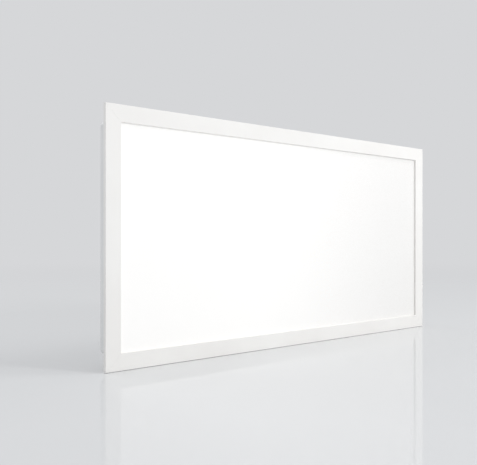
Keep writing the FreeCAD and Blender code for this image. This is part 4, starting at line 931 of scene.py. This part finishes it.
controller = {  # mm
    "middle": (-1.4, -9.4),  # X and Z
    "half": (2.45, 0.75, 1.95),
    "edge": 0.18,
    "standOff": 0.1,
    "mark": [(0, 0.02), (0.3, 0.02), (0.42, 0.05), (0.42, 0), (0, 0)],  # radius and rise
    "markIn": 0.9,  # in from the corner
    "legs": 4,  # on each side
    "legPitch": 1.27,
    "legRadius": 0.17,
    "legRoot": 0.1,  # how far into the body a leg starts
    "leg": [(0, 0, 0), (0, 0, 0.5), (0, -0.25, 0.7), (0, -0.55, 0.8), (0, -0.75, 1.0), (0, -0.75, 1.5)],
}


def makeController(tin):
    # a moulded eight-leg package: rounded box, a round mark at its first leg, and legs bent down like
    # a gull's wing
    halfX, halfY, halfZ = controller["half"]
    x, z = controller["middle"]
    middle = np.array([x, boardTop() + controller["standOff"] + halfY, z])
    corner = middle + [controller["markIn"] - halfX, halfY, controller["markIn"] - halfZ]
    shapes = [
        (pulledBall(controller["half"], controller["edge"], rings=8, steps=12), middle, 0),
        (lathe(controller["mark"], steps=20), corner, 2),
    ]
    wing = np.array(controller["leg"])
    for i in range(controller["legs"]):
        along = (i - (controller["legs"] - 1) / 2) * controller["legPitch"]
        for side in (-1, 1):
            leg = carried(wing * [1, 1, side], controller["legRadius"], steps=6)
            shapes.append((leg, middle + [along, 0, side * (halfZ - controller["legRoot"])], 1))
    epoxy = moulded("mouldedEpoxyPackage", "1b1c1e", "232427", 0.5, 0.4, 0.012)
    pale = moulded("laserMark", "8b8d90", "96989b", 0.6, 0.3, 0.01)
    addPiece("controllerChip", shapes, [epoxy, tin, pale])


def dress(material, *names):
    for name in names:
        for slot in nodes[name].material_slots:
            slot.material = material
    return material


def dressCasing():
    dress(powderCoat(), "frame_rail_top", "frame_rail_bottom", "frame_stile_left", "frame_stile_right")
    dress(coilCoat(), "back_pan", "driver_channel", "driver_end_plates", "driver_cover")
    dress(
        zincPlate(), "corner_screws", "pan_screws", "driver_box_screws", "hanger_nuts", "clip_rivets",
        "clip_top_left", "clip_top_right", "clip_bottom_left", "clip_bottom_right", "hinge_pins",
        "cable_clamp_screws", "earth_stud", "earth_nut", "fastener_keeper",
    )
    print("casing dressed")


def dressLightEngine():
    dress(opalAcrylicWithPaintedGlow(), "diffuser")
    dress(cellFoam(), "diffuser_gasket")
    dress(reflectorSheet(), "reflector_tray")
    dress(clearAcrylic(), "led_lenses")
    dress(phosphorPackage(), "led_packages")
    dress(maskedBoard("whiteMaskedAluminium", "f8f8f6", "eceeec", 0.3, (0.2, 1, 1)), "led_boards")
    dress(leadPvc("whitePvc", "dcdbd6", "e7e6e1"), "jumper_leads")
    print("light engine dressed")


def dressDriver():
    dress(maskedBoard("greenMaskedFibreglass", "0f4a2b", "1d7344", 0.28, (1, 1, 1)), "driver_board")
    dress(
        moulded("naturalNylon", "dedbd0", "e8e5dc", 0.45, 0.8, 0.01, **{"Subsurface Weight": 0.15}),
        "led_connectors", "reflector_posts", "board_standoffs", "board_connectors",
    )
    dress(
        moulded("glassFilledNylonBlack", "1c1d1f", "26272a", 0.55, 0.45, 0.02),
        "cover_fastener", "inlet_bushing", "blanking_plug", "transformer_bobbin", "switch_bodies",
    )
    dress(
        moulded("polyamideGrey", "a3a6a8", "aeb1b3", 0.48, 0.6, 0.015),
        "terminal_block", "cable_clamp_base", "cable_clamp_bar",
    )
    dress(
        moulded("polycarbonateOrange", "d9641a", "e57227", 0.3, 1.2, 0.008),
        "release_button_live", "release_button_neutral", "release_button_earth",
    )
    dress(moulded("absWhite", "e9e8e2", "f1f0ec", 0.3, 1.2, 0.008), "colour_slider", "power_slider")
    dress(moulded("rubberBlack", "18191a", "202123", 0.75, 0.8, 0.03), "lead_grommet")
    dress(leadPvc("brownPvc", "5b3420", "66402b"), "live_lead")
    dress(leadPvc("bluePvc", "1f5c9e", "2a69ad"), "neutral_lead")
    dress(earthPvc(), "earth_lead")
    dress(leadPvc("redPvc", "a81f1c", "b62b26"), "dc_lead_positive")
    dress(leadPvc("blackPvc", "17181a", "202124"), "dc_lead_negative")
    print("driver dressed")


makeCamera()
makeStudio()
dressCasing()
dressLightEngine()
dressDriver()
aluminium = dress(millAluminium(), "board_rivets", "corner_keys", "heat_sink")
tin = dress(tinPlate(), "earth_lug")
ferrite = dress(sinteredFerrite(), "transformer_core")
makeCapacitors(aluminium)
makeWinding()
makeChoke(ferrite)
makeFilmCapacitor(tin)
makeTransistor(tin)
makeChips(tin)
makeController(tin)
